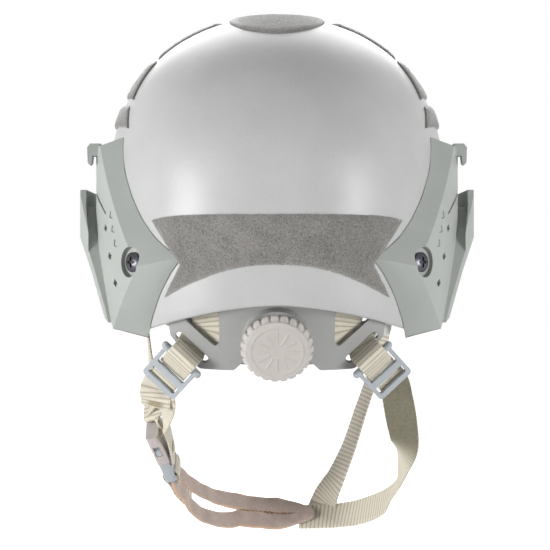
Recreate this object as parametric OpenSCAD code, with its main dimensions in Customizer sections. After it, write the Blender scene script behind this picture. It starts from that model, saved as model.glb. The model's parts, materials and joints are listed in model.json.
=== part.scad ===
// High-cut combat helmet with loop panels, side rails, a dial-fit nape cradle and a chin strap.
// The origin is the centre of the head opening at brow level, +Z is up and +Y is the helmet's front.

/* [Shell] */
// Half width of the shell at its widest level
shell_half_w = 111; // [106:1:116]
// Length of the shell behind the head's centre
shell_rear = 142; // [137:1:147]
// Length of the shell in front of the head's centre
shell_front = 134; // [128:1:140]
// Height of the widest level above the brow
widest_z = 50; // [47:1:53]
// Height of the crown above the widest level
dome_h = 112; // [108:1:120]
// Thickness of the shell wall
shell_wall = 4; // [3:0.5:5]
// Height of the ear cut above the brow
ear_cut_z = 26; // [22:1:28]
// Drop of the nape rim below the brow, at the centre
nape_drop = 27; // [24:1:30]
// Drop of the nape rim at its two lowest corners
corner_drop = 43; // [40:1:45]

/* [Loop panels] */
// Thickness of a loop panel
loop_t = 2.4; // [1.5:0.1:3]
// Half width of the oval panel on the crown
crown_half_w = 31; // [26:1:36]
// Length of the oval panel on the crown
crown_len = 92; // [80:1:104]
// Height of the band round the rear
band_h = 31; // [24:1:34]

/* [Rails] */
// Radius of the rail's outer face
rail_r = 190; // [188:1:192]
// Width of the accessory groove
groove_w = 6.5; // [5.5:0.1:7]
// Thickness of the slab outside the groove
slab_t = 4; // [3:0.5:5]
// Height of the slab above the rail's lower edge
slab_h = 17; // [14:1:18]
// Pitch of the cross slots in the slab
slot_pitch = 12; // [10:0.5:14]
// Diameter of a rail screw's head
screw_head_d = 12.5; // [11:0.5:13.5]
// Diameter of a screw's shank
screw_d = 4; // [3:0.5:5]
// Diameter of the pocket round a rail screw's head
rail_pocket_d = 19; // [16:0.5:21]

/* [Shroud] */
// Width of the front shroud
shroud_w = 58; // [52:1:64]
// Height of the front shroud
shroud_h = 46; // [42:1:50]
// Width of the shroud's socket
socket_w = 26; // [22:1:30]
// Height of the shroud's socket
socket_h = 22; // [18:1:26]

/* [Liner] */
// Thickness of a liner pad at its middle
pad_t = 18; // [14:1:20]

/* [Fit system] */
// Diameter of the dial knob
dial_d = 45; // [41:1:47]
// Number of scallops round the knob
dial_lobes = 23; // [18:1:28]
// Thickness of the knob
dial_t = 10; // [8:1:12]
// Tilt of the dial's axis below level
dial_tilt = 24; // [20:1:28]
// Thickness of the nape cradle's plate
cradle_t = 3; // [2.5:0.5:4]
// Number of teeth on the dial's pinion
pinion_teeth = 10; // [9:1:11]
// Pitch of the rack teeth
tooth_pitch = 3.2; // [3:0.1:3.4]

/* [Straps] */
// Width of the webbing
web_w = 20; // [18:1:22]
// Thickness of the webbing
web_t = 1.4; // [1.1:0.1:1.8]
// Length of the buckle, from loop bar to loop bar
buckle_len = 41; // [38:1:44]
// Width of the buckle
buckle_w = 25; // [24:1:27]

/* [Hidden] */

// Exponents of the shell's plan and of its profile
plan_n = 2.2;
dome_n = 2.18;
// Share by which the skirt draws in over tuck_h, at the side, the rear and the front
side_tuck = 0.05;
rear_tuck = 0.09;
front_tuck = 0.04;
tuck_h = 90;
// Gap between pieces that lie on each other
seat_gap = 0.3;
// Distance from the middle plane to the axis of the rail's outer face, on the other side
rail_axis_x = rail_r - shell_half_w - 13;

shell_color = [0.72, 0.73, 0.72];
loop_color = [0.56, 0.55, 0.53];
rail_color = [0.68, 0.69, 0.68];
cradle_color = [0.62, 0.62, 0.60];
pad_color = [0.12, 0.12, 0.13];
metal_color = [0.35, 0.35, 0.36];
web_color = [0.85, 0.83, 0.78];
buckle_color = [0.72, 0.74, 0.76];
cup_color = [0.62, 0.56, 0.54];

// Power that keeps the sign of its base
function soft_pow(v, e) = sign(v) * pow(abs(v), e);
// Blend from 0 to 1 that starts and ends level
function smooth(t) = let(c = min(1, max(0, t))) c * c * (3 - 2 * c);
function mix(a, b, t) = a + (b - a) * t;
function unit(v) = v / norm(v);

// Half length of the plan towards the front or the rear
function plan_len(y) = y >= 0 ? shell_front : shell_rear;
// Draw-in of the skirt at plan angle a
function tuck(a) = side_tuck
    + (rear_tuck - side_tuck) * pow(max(0, -sin(a)), 2)
    + (front_tuck - side_tuck) * pow(max(0, sin(a)), 2);
// Scale of the plan at height z, for a skin that lies off outside the shell
function level_scale(a, z, off) = z >= widest_z
    ? pow(max(0, 1 - pow((z - widest_z) / (dome_h + off), dome_n)), 1 / dome_n)
    : 1 - tuck(a) * pow((widest_z - z) / tuck_h, 2);
// Point of the skin at plan angle a and height z
function on_side(a, z, off) = let(s = level_scale(a, z, off)) [
    s * (shell_half_w + off) * soft_pow(cos(a), 2 / plan_n),
    s * (plan_len(sin(a)) + off) * soft_pow(sin(a), 2 / plan_n),
    z
];
// Point of the skin above plan point x, y
function on_top(x, y, off) = let(
    r = pow(pow(abs(x) / (shell_half_w + off), plan_n)
        + pow(abs(y) / (plan_len(y) + off), plan_n), 1 / plan_n)
) [x, y, widest_z + (dome_h + off) * pow(max(0, 1 - pow(r, dome_n)), 1 / dome_n)];
// Half width of the shell at length y and height z, by the side's own tuck
function side_x(y, z) = let(
    s = level_scale(0, z, 0),
    r = min(0.98, abs(y) / (s * plan_len(y)))
) s * shell_half_w * pow(1 - pow(r, plan_n), 1 / plan_n);

// Plan angles, from the rear, between which the rim climbs to the ear cut and drops to the brow
climb_from = 54;
climb_to = 78;
drop_from = 112;
drop_to = 124;
// Height of the rim at plan angle a
function rim_z(a) = let(
    rear_turn = acos(-sin(a)),
    rear = -mix(nape_drop, corner_drop, pow(min(1, sin(min(90, rear_turn)) / sin(climb_from)), 1.6)),
    side = mix(rear, ear_cut_z, smooth((rear_turn - climb_from) / (climb_to - climb_from)))
) mix(side, 0, smooth((rear_turn - drop_from) / (drop_to - drop_from)));

// Triangles of a strip between two rows of n points that start at points a and b
function strip(a, b, n) = [
    for (i = [0 : n - 1]) let(j = (i + 1) % n) each [[a + i, b + i, a + j], [b + i, b + j, a + j]]
];
function flat(rows) = [for (row = rows) each row];

// Closed plate between two grids of points, with the same rows and columns
module plate(outer, inner) {
    m = len(outer);
    n = len(outer[0]);
    k = m * n;
    faces = [
        for (r = [0 : m - 2], c = [0 : n - 2]) let(p = r * n + c, q = p + n) each [
            [p, q, p + 1], [q, q + 1, p + 1],
            [k + p, k + p + 1, k + q], [k + q, k + p + 1, k + q + 1]
        ],
        for (c = [0 : n - 2]) let(p = c, q = (m - 1) * n + c) each [
            [k + p, p, k + p + 1], [p, p + 1, k + p + 1],
            [q, k + q, q + 1], [k + q, k + q + 1, q + 1]
        ],
        for (r = [0 : m - 2]) let(p = r * n, q = r * n + n - 1) each [
            [p + n, p, k + p], [p + n, k + p, k + p + n],
            [q, q + n, k + q], [q + n, k + q + n, k + q]
        ]
    ];
    polyhedron(points = concat(flat(outer), flat(inner)), faces = faces);
}

// Plate on a surface: place(u, v, off) gives a point for u and v from -1 to 1
module plate_on(place, columns, rows, off_in, off_out) {
    function skin(off) = [
        for (j = [0 : rows]) [for (i = [0 : columns])
            let(u = 2 * i / columns - 1, v = 2 * j / rows - 1) place(u, v, off(u, v))]
    ];
    plate(skin(off_out), skin(off_in));
}

// Round disc of half sizes a and b from a square grid
function disc_xy(u, v, a, b) = [a * u * sqrt(1 - v * v / 2), b * v * sqrt(1 - u * u / 2)];
// Edge-softened thickness: full at the middle and edge_share of it at the rim
function crowned(u, v, edge_share) = 1 - (1 - edge_share) * max(pow(abs(u), 6), pow(abs(v), 6));

// Columns round the shell, rows of its skirt and rows of its dome
shell_columns = 80;
skirt_rows = 5;
dome_rows = 13;
// Rows of one skin, from the rim upwards
function shell_skin(off) = concat(
    [for (j = [0 : skirt_rows]) [for (i = [0 : shell_columns - 1])
        let(a = 360 * i / shell_columns) on_side(a, mix(rim_z(a), widest_z, j / skirt_rows), off)]],
    [for (j = [1 : dome_rows - 1]) let(
        z = widest_z + (dome_h + off) * pow(sin(90 * j / dome_rows), 2 / dome_n)
    ) [for (i = [0 : shell_columns - 1]) on_side(360 * i / shell_columns, z, off)]]
);

module shell_blank() {
    outer = shell_skin(0);
    inner = shell_skin(-shell_wall);
    m = len(outer);
    n = shell_columns;
    rows = concat([for (j = [m - 1 : -1 : 0]) inner[j]], outer);
    top_in = 2 * m * n;
    top_out = top_in + 1;
    last = (2 * m - 1) * n;
    faces = concat(
        [for (j = [0 : 2 * m - 2]) each strip(j * n, (j + 1) * n, n)],
        [for (i = [0 : n - 1]) [i, (i + 1) % n, top_in]],
        [for (i = [0 : n - 1]) [last + i, top_out, last + (i + 1) % n]]
    );
    polyhedron(
        points = concat(flat(rows), [[0, 0, widest_z + dome_h - shell_wall], [0, 0, widest_z + dome_h]]),
        faces = faces
    );
}

// Places of the rail screws on the right: seat point and plan angle of the axis, outwards
rail_screw_rear = [shell_half_w - 22, 40.5 - shell_rear, 0, -45];
rail_screw_front = [shell_half_w - 8, shell_front - 56, 24, 27];
rail_screw_places = [rail_screw_rear, rail_screw_front];
// Plan angle of a point at its own level
function plan_angle(p) = atan2(
    sign(p.y) * pow(abs(p.y) / plan_len(p.y), plan_n / 2),
    sign(p.x) * pow(abs(p.x) / shell_half_w, plan_n / 2)
);
// Whether a point lies inside the skin at off
function inside_skin(p, off) = let(
    s = level_scale(plan_angle(p), p.z, off)
) pow(abs(p.x) / (s * (shell_half_w + off)), plan_n)
    + pow(abs(p.y) / (s * (plan_len(p.y) + off)), plan_n) < 1;
// Depth from p, against direction axis, at which the skin at off is met, by halving
function skin_depth(p, axis, off, low = 0, high = 40, steps = 18) = let(mid = (low + high) / 2)
    steps == 0 ? mid
    : inside_skin(p - axis * mid, off) ? skin_depth(p, axis, off, low, mid, steps - 1)
    : skin_depth(p, axis, off, mid, high, steps - 1);
function rail_nut_depth(place) = skin_depth(
    [place[0], place[1], place[2]], [cos(place[3]), sin(place[3]), 0], -shell_wall);
nut_barrel_d = 6.5;
nut_flange_d = 14;
nut_flange_t = 1.4;

// Puts children at a screw's seat with +Z along its axis, outwards
module at_screw(place) {
    translate([place[0], place[1], place[2]]) rotate([0, 90, place[3]]) children();
}
module on_both_sides() {
    children();
    mirror([1, 0, 0]) children();
}

module shell() {
    color(shell_color) difference() {
        shell_blank();
        on_both_sides() for (p = rail_screw_places) at_screw(p) {
            translate([0, 0, -30]) cylinder(d = nut_barrel_d, h = 40, $fn = 32);
            translate([0, 0, -rail_nut_depth(p) - 6]) cylinder(d = nut_flange_d + 1, h = 6, $fn = 48);
        }
        for (p = shroud_screw_places) at_shroud_screw(p) {
            translate([0, 0, -25]) cylinder(d = nut_barrel_d, h = 40, $fn = 32);
            translate([0, 0, -shroud_nut_depth(p) - 6]) cylinder(d = nut_flange_d + 1, h = 6, $fn = 48);
        }
    }
}

// Oval panel on the crown: the place of its middle behind the crown's point
crown_mid_y = -36;
module loop_crown() {
    color(loop_color) plate_on(
        function(u, v, off) let(p = disc_xy(u, v, crown_half_w, crown_len / 2))
            on_top(p.x, p.y + crown_mid_y, off),
        14, 18, function(u, v) 0.15, function(u, v) loop_t * crowned(u, v, 0.6)
    );
}

// Plan angle, from the rear, at which the rear band ends beside the rails' rear tips
function band_turn(z) = 28.5 + (z > -2 ? 0.26 * (z + 2) : 0.28 * (-2 - z));
// Height of the rear band's upper edge at the middle
band_top_z = 29;
module loop_rear() {
    color(loop_color) plate_on(
        function(u, v, off) let(
            top = band_top_z - 3 * pow(abs(u), 6),
            low = band_top_z - band_h - 20 * pow(abs(u), 2.2),
            z = mix(low, top, (v + 1) / 2)
        ) on_side(-90 + band_turn(z) * u, z, off),
        26, 5, function(u, v) 0.15, function(u, v) loop_t * crowned(u, v, 0.6)
    );
}

// Front panel: its rear edge, its front edge and its half width
front_loop_y = [12, 92];
front_loop_half_w = 74;
module loop_front() {
    color(loop_color) plate_on(
        function(u, v, off) let(
            y = mix(front_loop_y[0], front_loop_y[1], (v + 1) / 2),
            w = front_loop_half_w * (1 - 0.45 * pow((v + 1) / 2, 2))
        ) on_top(w * u, y - 6 * u * u, off),
        16, 9, function(u, v) 0.3, function(u, v) loop_t * crowned(u, v, 0.6)
    );
}

// Side panels on the right: plan angle of the middle, half turn, and heights of the two edges
upper_loop = [0, 21, 108, 133];
lower_loop = [0, 26, 88.5, 103];
module side_loop(p) {
    color(loop_color) plate_on(
        function(u, v, off) let(c = 1 - 0.12 * v)
            on_side(p[0] + p[1] * u * c, mix(p[2], p[3], (v + 1) / 2) - 3 * pow(abs(u), 3), off),
        10, 5, function(u, v) 0.15, function(u, v) loop_t * crowned(u, v, 0.6)
    );
}
module loop_side_upper_right() side_loop(upper_loop);
module loop_side_lower_right() side_loop(lower_loop);
module loop_side_upper_left() mirror([1, 0, 0]) side_loop(upper_loop);
module loop_side_lower_left() mirror([1, 0, 0]) side_loop(lower_loop);

// Outline of the right rail in side view, in plane x = rail_ref_x, from the rear tip over the top:
// [y, z, draft], where an edge moves outwards by its draft for each mm towards the shell
rail_ref_x = shell_half_w - 7;
rail_outline = [
    [-107.8, -5.9, 0.36], [-64.6, 78, 0.35], [-36, 79, 0.3], [27, 74, 0.35], [68, 59, 0.35], [94, 34, 0.25],
    [96.5, 18, 0.2], [87, 7.5, 0.15], [76, 7.5, 0.1], [66.5, 16, 0.06], [54, 28.5, 0.06], [-33, 28.5, 0.06],
    [-49.5, 17.5, 0.08], [-63.5, -5.5, 0.08], [-80.5, -34, 0.12], [-86, -41.5, 0.164]
];
// Planes between which the rail's blank is drawn
rail_in_x = shell_half_w - 59;
rail_out_x = shell_half_w + 19;
// Distance from the middle plane to the flat part of the rail's outer face
rail_flat_x = shell_half_w + 5.5;
function rail_face_x(y) = min(rail_flat_x, sqrt(rail_r * rail_r - y * y) - rail_axis_x);
// Outward direction of the outline's edge i
function rail_edge_dir(i) = let(a = rail_outline[i], b = rail_outline[(i + 1) % len(rail_outline)])
    unit([a[1] - b[1], b[0] - a[0]]);
// Corner i of the outline in plane x, where its two drafted edges meet
function rail_corner(i, x) = let(
    n = len(rail_outline), j = (i + n - 1) % n, p = rail_outline[i], q = [p[0], p[1]],
    u = rail_edge_dir(j), v = rail_edge_dir(i),
    s = u * q + rail_outline[j][2] * (rail_ref_x - x),
    t = v * q + p[2] * (rail_ref_x - x),
    det = u.x * v.y - u.y * v.x
) [x, (s * v.y - t * u.y) / det, (u.x * t - v.x * s) / det];

module rail_blank() {
    n = len(rail_outline);
    points = concat(
        [for (i = [0 : n - 1]) rail_corner(i, rail_in_x)],
        [for (i = [0 : n - 1]) rail_corner(i, rail_out_x)]
    );
    faces = concat(
        [[for (i = [n - 1 : -1 : 0]) i]],
        [[for (i = [0 : n - 1]) n + i]],
        [for (i = [0 : n - 1]) let(j = (i + 1) % n) [i, j, n + j, n + i]]
    );
    polyhedron(points = points, faces = faces);
}

// Solid that the shell fills beside the rail, with the seat gap added
module shell_core_right() {
    columns = 22;
    rows = 12;
    function core_skin(flatten) = [
        for (j = [0 : rows]) [for (i = [0 : columns])
            let(p = on_side(mix(-72, 58, i / columns), mix(-62, 120, j / rows), seat_gap))
            flatten ? [rail_in_x - 22, p.y, p.z] : p]
    ];
    plate(core_skin(false), core_skin(true));
}

// Lower edge of the slab in side view, and its rear and front ends
slab_low = [[-79, -35], [-64, -5], [-50, 19], [-34, 30], [56, 30], [70, 17]];
slab_top_z = 30 + slab_h;
slab_rear_top_y = -50;
slab_front = [[84, 12], [82, 28]];
groove_floor = 6;

// Upright plane that cuts the slab off towards the rear: a point of it and its turn from the middle plane
rail_rear_plane = [shell_half_w - 2.4, -80];
rail_rear_turn = 32.8;
// All that lies within the rail's outer face moved outwards by off, over the height z1 to z2
module rail_bulk(off, z1, z2) {
    intersection() {
        translate([-rail_axis_x, 0, z1]) cylinder(r = rail_r + off, h = z2 - z1, $fn = 180);
        translate([0, -150, z1 - 1]) cube([rail_flat_x + off, 300, z2 - z1 + 2]);
        translate([rail_rear_plane.x, rail_rear_plane.y, z1 - 1]) rotate([0, 0, -rail_rear_turn])
            translate([-300, -60, 0]) cube([300, 300, z2 - z1 + 2]);
    }
}
// Side-view outline carried across the right side
module side_prism(points) {
    translate([rail_in_x, 0, 0]) rotate([90, 0, 90]) linear_extrude(rail_out_x + 10) polygon(points);
}

// Depth to which the slab's root reaches into the rail
slab_root = 2;
module rail_slab() {
    slab_x = rail_flat_x + groove_w + slab_t;
    difference() {
        intersection() {
            difference() {
                rail_bulk(groove_w + slab_t, -60, 90);
                rail_bulk(-slab_root, -61, 91);
            }
            side_prism(concat(slab_low, slab_front,
                [[62, slab_top_z], [slab_rear_top_y, slab_top_z], [-83, -38]]));
        }
        intersection() {
            rail_bulk(groove_w, -62, 92);
            side_prism([
                [-100, 90], [-100, -33], [-81.5, -33], [-67, -3.4], [-53, 22], [-36, slab_low[3][1] + groove_floor],
                [58, slab_low[4][1] + groove_floor], [76, 22], [90, 22], [90, 90]
            ]);
        }
        for (i = [-4 : 4]) translate([slab_x - 2, i * slot_pitch - 1.6, slab_low[3][1] + groove_floor])
            cube([4, 3.2, slab_h]);
    }
}

// Hook for a bungee at the top of the rail: a shelf with a lip that hangs down
module rail_hook() {
    translate([rail_face_x(-52) - 3, -58, 62]) rotate([90, 0, 0]) translate([0, 0, -12]) linear_extrude(12)
        polygon([[0, 6.5], [5, 6.5], [5.4, 2], [6.6, 0.6], [8.2, 2], [8.6, 12], [6.6, 14.5], [0, 14.5]]);
}

// Cuts in the rail's side: [y, z, length, height, turn, depth below the face]
rail_cuts = [
    [-63, 38, 28, 1.4, -30, 1.2], [-58.5, 41.5, 26, 1.4, -30, 1.2],
    [-83, 30, 5, 4, -12, 0.7], [-86, 21, 5, 4, -12, 0.7], [-89.5, 12, 5, 4, -12, 0.7],
    [-74, 22, 4.6, 3.4, -30, 5], [-81, 4, 4.6, 3.4, -30, 5], [-89, -13, 4.6, 3.4, -30, 5],
    [30, 58, 5, 4, 12, 0.7], [18, 61, 5, 4, 12, 0.7], [6, 63, 5, 4, 12, 0.7],
    [60, 44, 4.6, 3.4, 30, 5], [-20, 60, 28, 1.4, -30, 1.2], [-14, 60, 28, 1.4, -30, 1.2]
];
module rail_cut(c) {
    lean = asin((abs(c[0]) < 53 ? 0 : c[0]) / rail_r);
    translate([rail_face_x(c[0]), c[0], c[1]]) rotate([0, 0, lean]) rotate([-c[4], 0, 0])
        translate([-c[5], -c[2] / 2, -c[3] / 2]) cube([c[5] + 6, c[2], c[3]]);
}

module rail() {
    difference() {
        union() {
            intersection() {
                difference() {
                    rail_blank();
                    shell_core_right();
                }
                rail_bulk(0, -70, 100);
            }
            rail_slab();
            rail_hook();
        }
        for (p = rail_screw_places) at_screw(p) {
            cylinder(d = rail_pocket_d, h = 30, $fn = 64);
            translate([0, 0, -30]) cylinder(d = screw_d + 0.4, h = 40, $fn = 32);
        }
        for (c = rail_cuts) rail_cut(c);
    }
}
module rail_right() color(rail_color) rail();
module rail_left() color(rail_color) mirror([1, 0, 0]) rail();

// Domed screw head and shank, with its seat at the origin
module pan_screw(head_d, head_h, shank) {
    difference() {
        union() {
            intersection() {
                cylinder(d = head_d, h = head_h, $fn = 48);
                translate([0, 0, head_h - head_d]) sphere(r = head_d, $fn = 64);
            }
            translate([0, 0, -shank]) cylinder(d = screw_d, h = shank + 0.5, $fn = 32);
        }
        for (t = [0, 90]) rotate([0, 0, t]) translate([-head_d * 0.27, -0.8, head_h - 1.6])
            cube([head_d * 0.54, 1.6, 3]);
    }
}
module rail_screws() {
    color(metal_color) on_both_sides() for (p = rail_screw_places) at_screw(p) pan_screw(screw_head_d, 3.4, 14);
}
// Flanged barrel nut, whose flange lies inside the shell at depth below the screw's seat
module barrel_nut(depth) {
    translate([0, 0, -depth]) difference() {
        union() {
            translate([0, 0, -nut_flange_t]) cylinder(d = nut_flange_d, h = nut_flange_t, $fn = 48);
            cylinder(d = nut_barrel_d - 0.2, h = shell_wall - 0.8, $fn = 32);
        }
        translate([0, 0, -nut_flange_t - 1]) cylinder(d = screw_d, h = shell_wall + nut_flange_t + 2, $fn = 32);
    }
}
module rail_nuts() {
    color(metal_color) on_both_sides() for (p = rail_screw_places) at_screw(p) barrel_nut(rail_nut_depth(p));
}

// Front shroud: middle height and the places of its screws as [x, z]
shroud_mid_z = 34;
shroud_t = 7;
shroud_screw_places = [[-20, 20], [20, 20], [0, 50]];
shroud_seat_y = shell_front + 2.5;
function shroud_nut_depth(p) = skin_depth([p[0], shroud_seat_y, p[1]], [0, 1, 0], -shell_wall);
module at_shroud_screw(p) {
    translate([p[0], shroud_seat_y, p[1]]) rotate([-90, 0, 0]) children();
}
module shroud() {
    color(rail_color) difference() {
        union() {
            plate_on(
                function(u, v, off) let(
                    x = shroud_w / 2 * u * (1 - 0.18 * (v + 1) / 2),
                    z = shroud_mid_z + shroud_h / 2 * v
                ) on_side(90 + x * 0.52, z, off),
                10, 6, function(u, v) seat_gap, function(u, v) 4.5
            );
            translate([-socket_w / 2 - 5, shell_front - 2, shroud_mid_z - socket_h / 2 - 6])
                cube([socket_w + 10, shroud_t + 2, socket_h + 10]);
        }
        translate([-socket_w / 2, shell_front + 1.5, shroud_mid_z - socket_h / 2])
            cube([socket_w, shroud_t + 5, socket_h]);
        translate([-6, shell_front + 1.5, shroud_mid_z - socket_h]) cube([12, shroud_t + 5, socket_h]);
        plate_on(
            function(u, v, off) let(
                q = on_side(90 + 24 * u, shroud_mid_z + 34 * v, off)
            ) off > 0 ? q : [q.x * 0.8, shell_front - 30, q.z],
            14, 8, function(u, v) -1, function(u, v) seat_gap
        );
        for (p = shroud_screw_places) at_shroud_screw(p) {
            cylinder(d = 9, h = 30, $fn = 32);
            translate([0, 0, -20]) cylinder(d = screw_d + 0.4, h = 40, $fn = 32);
        }
    }
}
module shroud_screws() {
    color(metal_color) for (p = shroud_screw_places) at_shroud_screw(p) pan_screw(8, 2.6, 8);
}
module shroud_nuts() {
    color(metal_color) for (p = shroud_screw_places) at_shroud_screw(p) barrel_nut(shroud_nut_depth(p));
}

// Pad between the liner gap and its own crowned face, on the inside of the shell
pad_gap = shell_wall + seat_gap;
module pad(place, columns, rows) {
    color(pad_color) plate_on(
        place, columns, rows,
        function(u, v) -pad_gap - pad_t * crowned(u, v, 0.45), function(u, v) -pad_gap
    );
}
module pad_crown() {
    pad(function(u, v, off) let(p = disc_xy(u, v, 52, 58)) on_top(p.x, p.y, off), 10, 10);
}
module pad_front() {
    pad(function(u, v, off) on_side(90 + 32 * u, mix(8, 48, (v + 1) / 2), off - nut_flange_t - 0.6), 14, 5);
}
module side_pad() {
    pad(function(u, v, off) on_side(28 * u, mix(52, 92, (v + 1) / 2), off), 10, 6);
}
module rear_pad() {
    pad(function(u, v, off) on_side(-66 + 20 * u, mix(5, 64, (v + 1) / 2), off), 8, 8);
}
module pad_side_right() side_pad();
module pad_side_left() mirror([1, 0, 0]) side_pad();
module pad_rear_right() rear_pad();
module pad_rear_left() mirror([1, 0, 0]) rear_pad();

// Fit system. Its own frame has the cradle's outer face at y = 0, the dial's axis along -y and z up
cradle_y = 33.4 - shell_rear;
cradle_z = -47.7;
module in_cradle() {
    translate([0, cradle_y, cradle_z]) rotate([dial_tilt, 0, 0]) children();
}
// Radius of the cradle's outer face, in plan, round the nape
cradle_r = 150;

// Arc that rounds corner b between a and c by radius r
function corner_arc(a, b, c, r, n = 5) = r == 0 ? [b] : let(
    u = unit(a - b),
    v = unit(c - b),
    half = acos(max(-1, min(1, u * v))) / 2,
    centre = b + unit(u + v) * r / sin(half),
    from = b + u * r / tan(half) - centre,
    to = b + v * r / tan(half) - centre,
    start = atan2(from.y, from.x),
    turn = (atan2(to.y, to.x) - start + 540) % 360 - 180
) [for (k = [0 : n]) centre + r * [cos(start + turn * k / n), sin(start + turn * k / n)]];
// Outline from corners given as [x, y, radius]
function rounded(corners) = let(n = len(corners)) [
    for (i = [0 : n - 1]) let(
        a = corners[(i + n - 1) % n], b = corners[i], c = corners[(i + 1) % n]
    ) each corner_arc([a[0], a[1]], [b[0], b[1]], [c[0], c[1]], b[2])
];
// Corners and their mirror image, in order round the outline
function mirrored(corners) = concat(
    corners, [for (i = [len(corners) - 1 : -1 : 0]) [-corners[i][0], corners[i][1], corners[i][2]]]
);

// Outline drawn in x and z, cut through the cradle from y1 to y2
module face_prism(points, y1, y2) {
    translate([0, y2, 0]) rotate([90, 0, 0]) linear_extrude(y2 - y1) polygon(points);
}
module cradle_ring(r1, r2) {
    translate([0, cradle_r, -40]) difference() {
        cylinder(r = r2, h = 80, $fn = 180);
        translate([0, 0, -1]) cylinder(r = r1, h = 82, $fn = 180);
    }
}

// Half width of the cradle from wing to wing
wing_x = shell_half_w - 43;
cradle_outline = [
    [6, 25, 0], [wing_x - 18, 25, 4], [wing_x - 6, 19, 4], [wing_x, 4, 4], [wing_x - 1, -5, 3],
    [wing_x - 19, -24.5, 4], [27, -23, 3], [22, -17.5, 3], [6, -17.5, 0]
];
cradle_window = [[36, 16, 2.5], [wing_x - 7, 16, 2], [wing_x - 7, 11, 2], [36, -10, 2.5]];
// Slot for the webbing: its middle, its length, its width and its slope
cradle_slot = [wing_x - 14.8, -10.6];
slot_len = web_w + 5.4;
slot_w = 5.6;
slot_slope = 41;

// Dial: radii of the collar and of the pinion, and places along the axis
collar_r = 17.5;
collar_len = 8.5;
// Height and radius of the collar's wide base
collar_base = 6.5;
collar_base_r = dial_d / 2 - 1;
dial_gap = 0.4;
dial_shaft_d = 8;
shaft_fit = 0.05;
pitch_r = pinion_teeth * tooth_pitch / (2 * PI);
tooth_h = tooth_pitch * 0.55;
// Racks: thickness along the axis, height above and below the pinion, and where they start
rack_t = 2.4;
rack_h = 5;
rack_y = 12.5;
mesh_gap = 0.25;
rack_reach = 24;
// Arm: radius of its bend, and where the bend starts and ends across the nape
arm_r = 70;
arm_x = 26;
arm_tip_x = wing_x + 4;
cover_screw_places = [[-30, 20], [30, 20], [-30, -17], [30, -17]];

module nape_cradle() {
    color(cradle_color) in_cradle() difference() {
        union() {
            difference() {
                intersection() {
                    cradle_ring(cradle_r - cradle_t, cradle_r);
                    face_prism(rounded(mirrored(cradle_outline)), -1, 30);
                }
                for (s = [-1, 1]) {
                    face_prism([for (p = rounded(cradle_window)) [s * p.x, p.y]], -5, 30);
                    translate([s * cradle_slot.x, 30, cradle_slot.y]) rotate([90, s * -slot_slope, 0])
                        linear_extrude(40) slot_outline(slot_len, slot_w);
                }
            }
            rotate([90, 0, 0]) translate([0, 0, -cradle_t]) {
                cylinder(r = collar_r, h = cradle_t + collar_len, $fn = 96);
                cylinder(r = collar_base_r, h = cradle_t + collar_base, $fn = 96);
            }
        }
        rotate([90, 0, 0]) translate([0, 0, -10]) cylinder(d = dial_shaft_d + 2 * shaft_fit, h = 30, $fn = 64);
        for (p = cover_screw_places) translate([p[0], 0, p[1]]) rotate([90, 0, 0])
            translate([0, 0, -20]) cylinder(d = 2.5, h = 40, $fn = 24);
    }
}
// Slot with straight sides and round ends
module slot_outline(length, width) {
    square([length - width, width], center = true);
    for (s = [-1, 1]) translate([s * (length - width) / 2, 0]) circle(d = width, $fn = 32);
}

// Inner cover: a shallow box that keeps the racks against the cradle
cover_in_y = rack_y + rack_t / 2 + 0.4;
cover_wall = 1.5;
// Half length of the roof over the racks; the arms bend away beyond it
cover_roof_x = 17;
// Half height of the cover's channel
channel_h = pitch_r + tooth_h / 2 + mesh_gap + rack_h - 1.6 + 0.4;
module cradle_cover() {
    color(cradle_color) in_cradle() difference() {
        face_prism(rounded(mirrored([[5, 23, 0], [33, 23, 3], [34, 0, 0], [33, -20, 3], [5, -20, 0]])),
            cradle_t, cover_in_y + cover_wall);
        face_prism([[-60, -channel_h], [60, -channel_h], [60, channel_h], [-60, channel_h]], 0, cover_in_y);
        for (s = [-1, 1]) face_prism([
            [s * cover_roof_x, -channel_h], [s * 60, -channel_h], [s * 60, channel_h], [s * cover_roof_x, channel_h]
        ], 0, 30);
        translate([0, cradle_r, -40]) difference() {
            translate([-60, -cradle_r - 1, 0]) cube([120, 60, 80]);
            cylinder(r = cradle_r - cradle_t - 0.2, h = 80, $fn = 180);
        }
        for (p = cover_screw_places) translate([p[0], 0, p[1]]) rotate([90, 0, 0])
            translate([0, 0, -30]) cylinder(d = 2.5, h = 40, $fn = 24);
    }
}
module cover_screws() {
    color(metal_color) in_cradle() for (p = cover_screw_places) translate([p[0], cover_in_y + cover_wall, p[1]])
        rotate([-90, 0, 0]) {
            cylinder(d = 4.6, h = cover_head_t, $fn = 32);
            translate([0, 0, -12]) cylinder(d = 2.5, h = 12.5, $fn = 24);
        }
}

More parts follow.
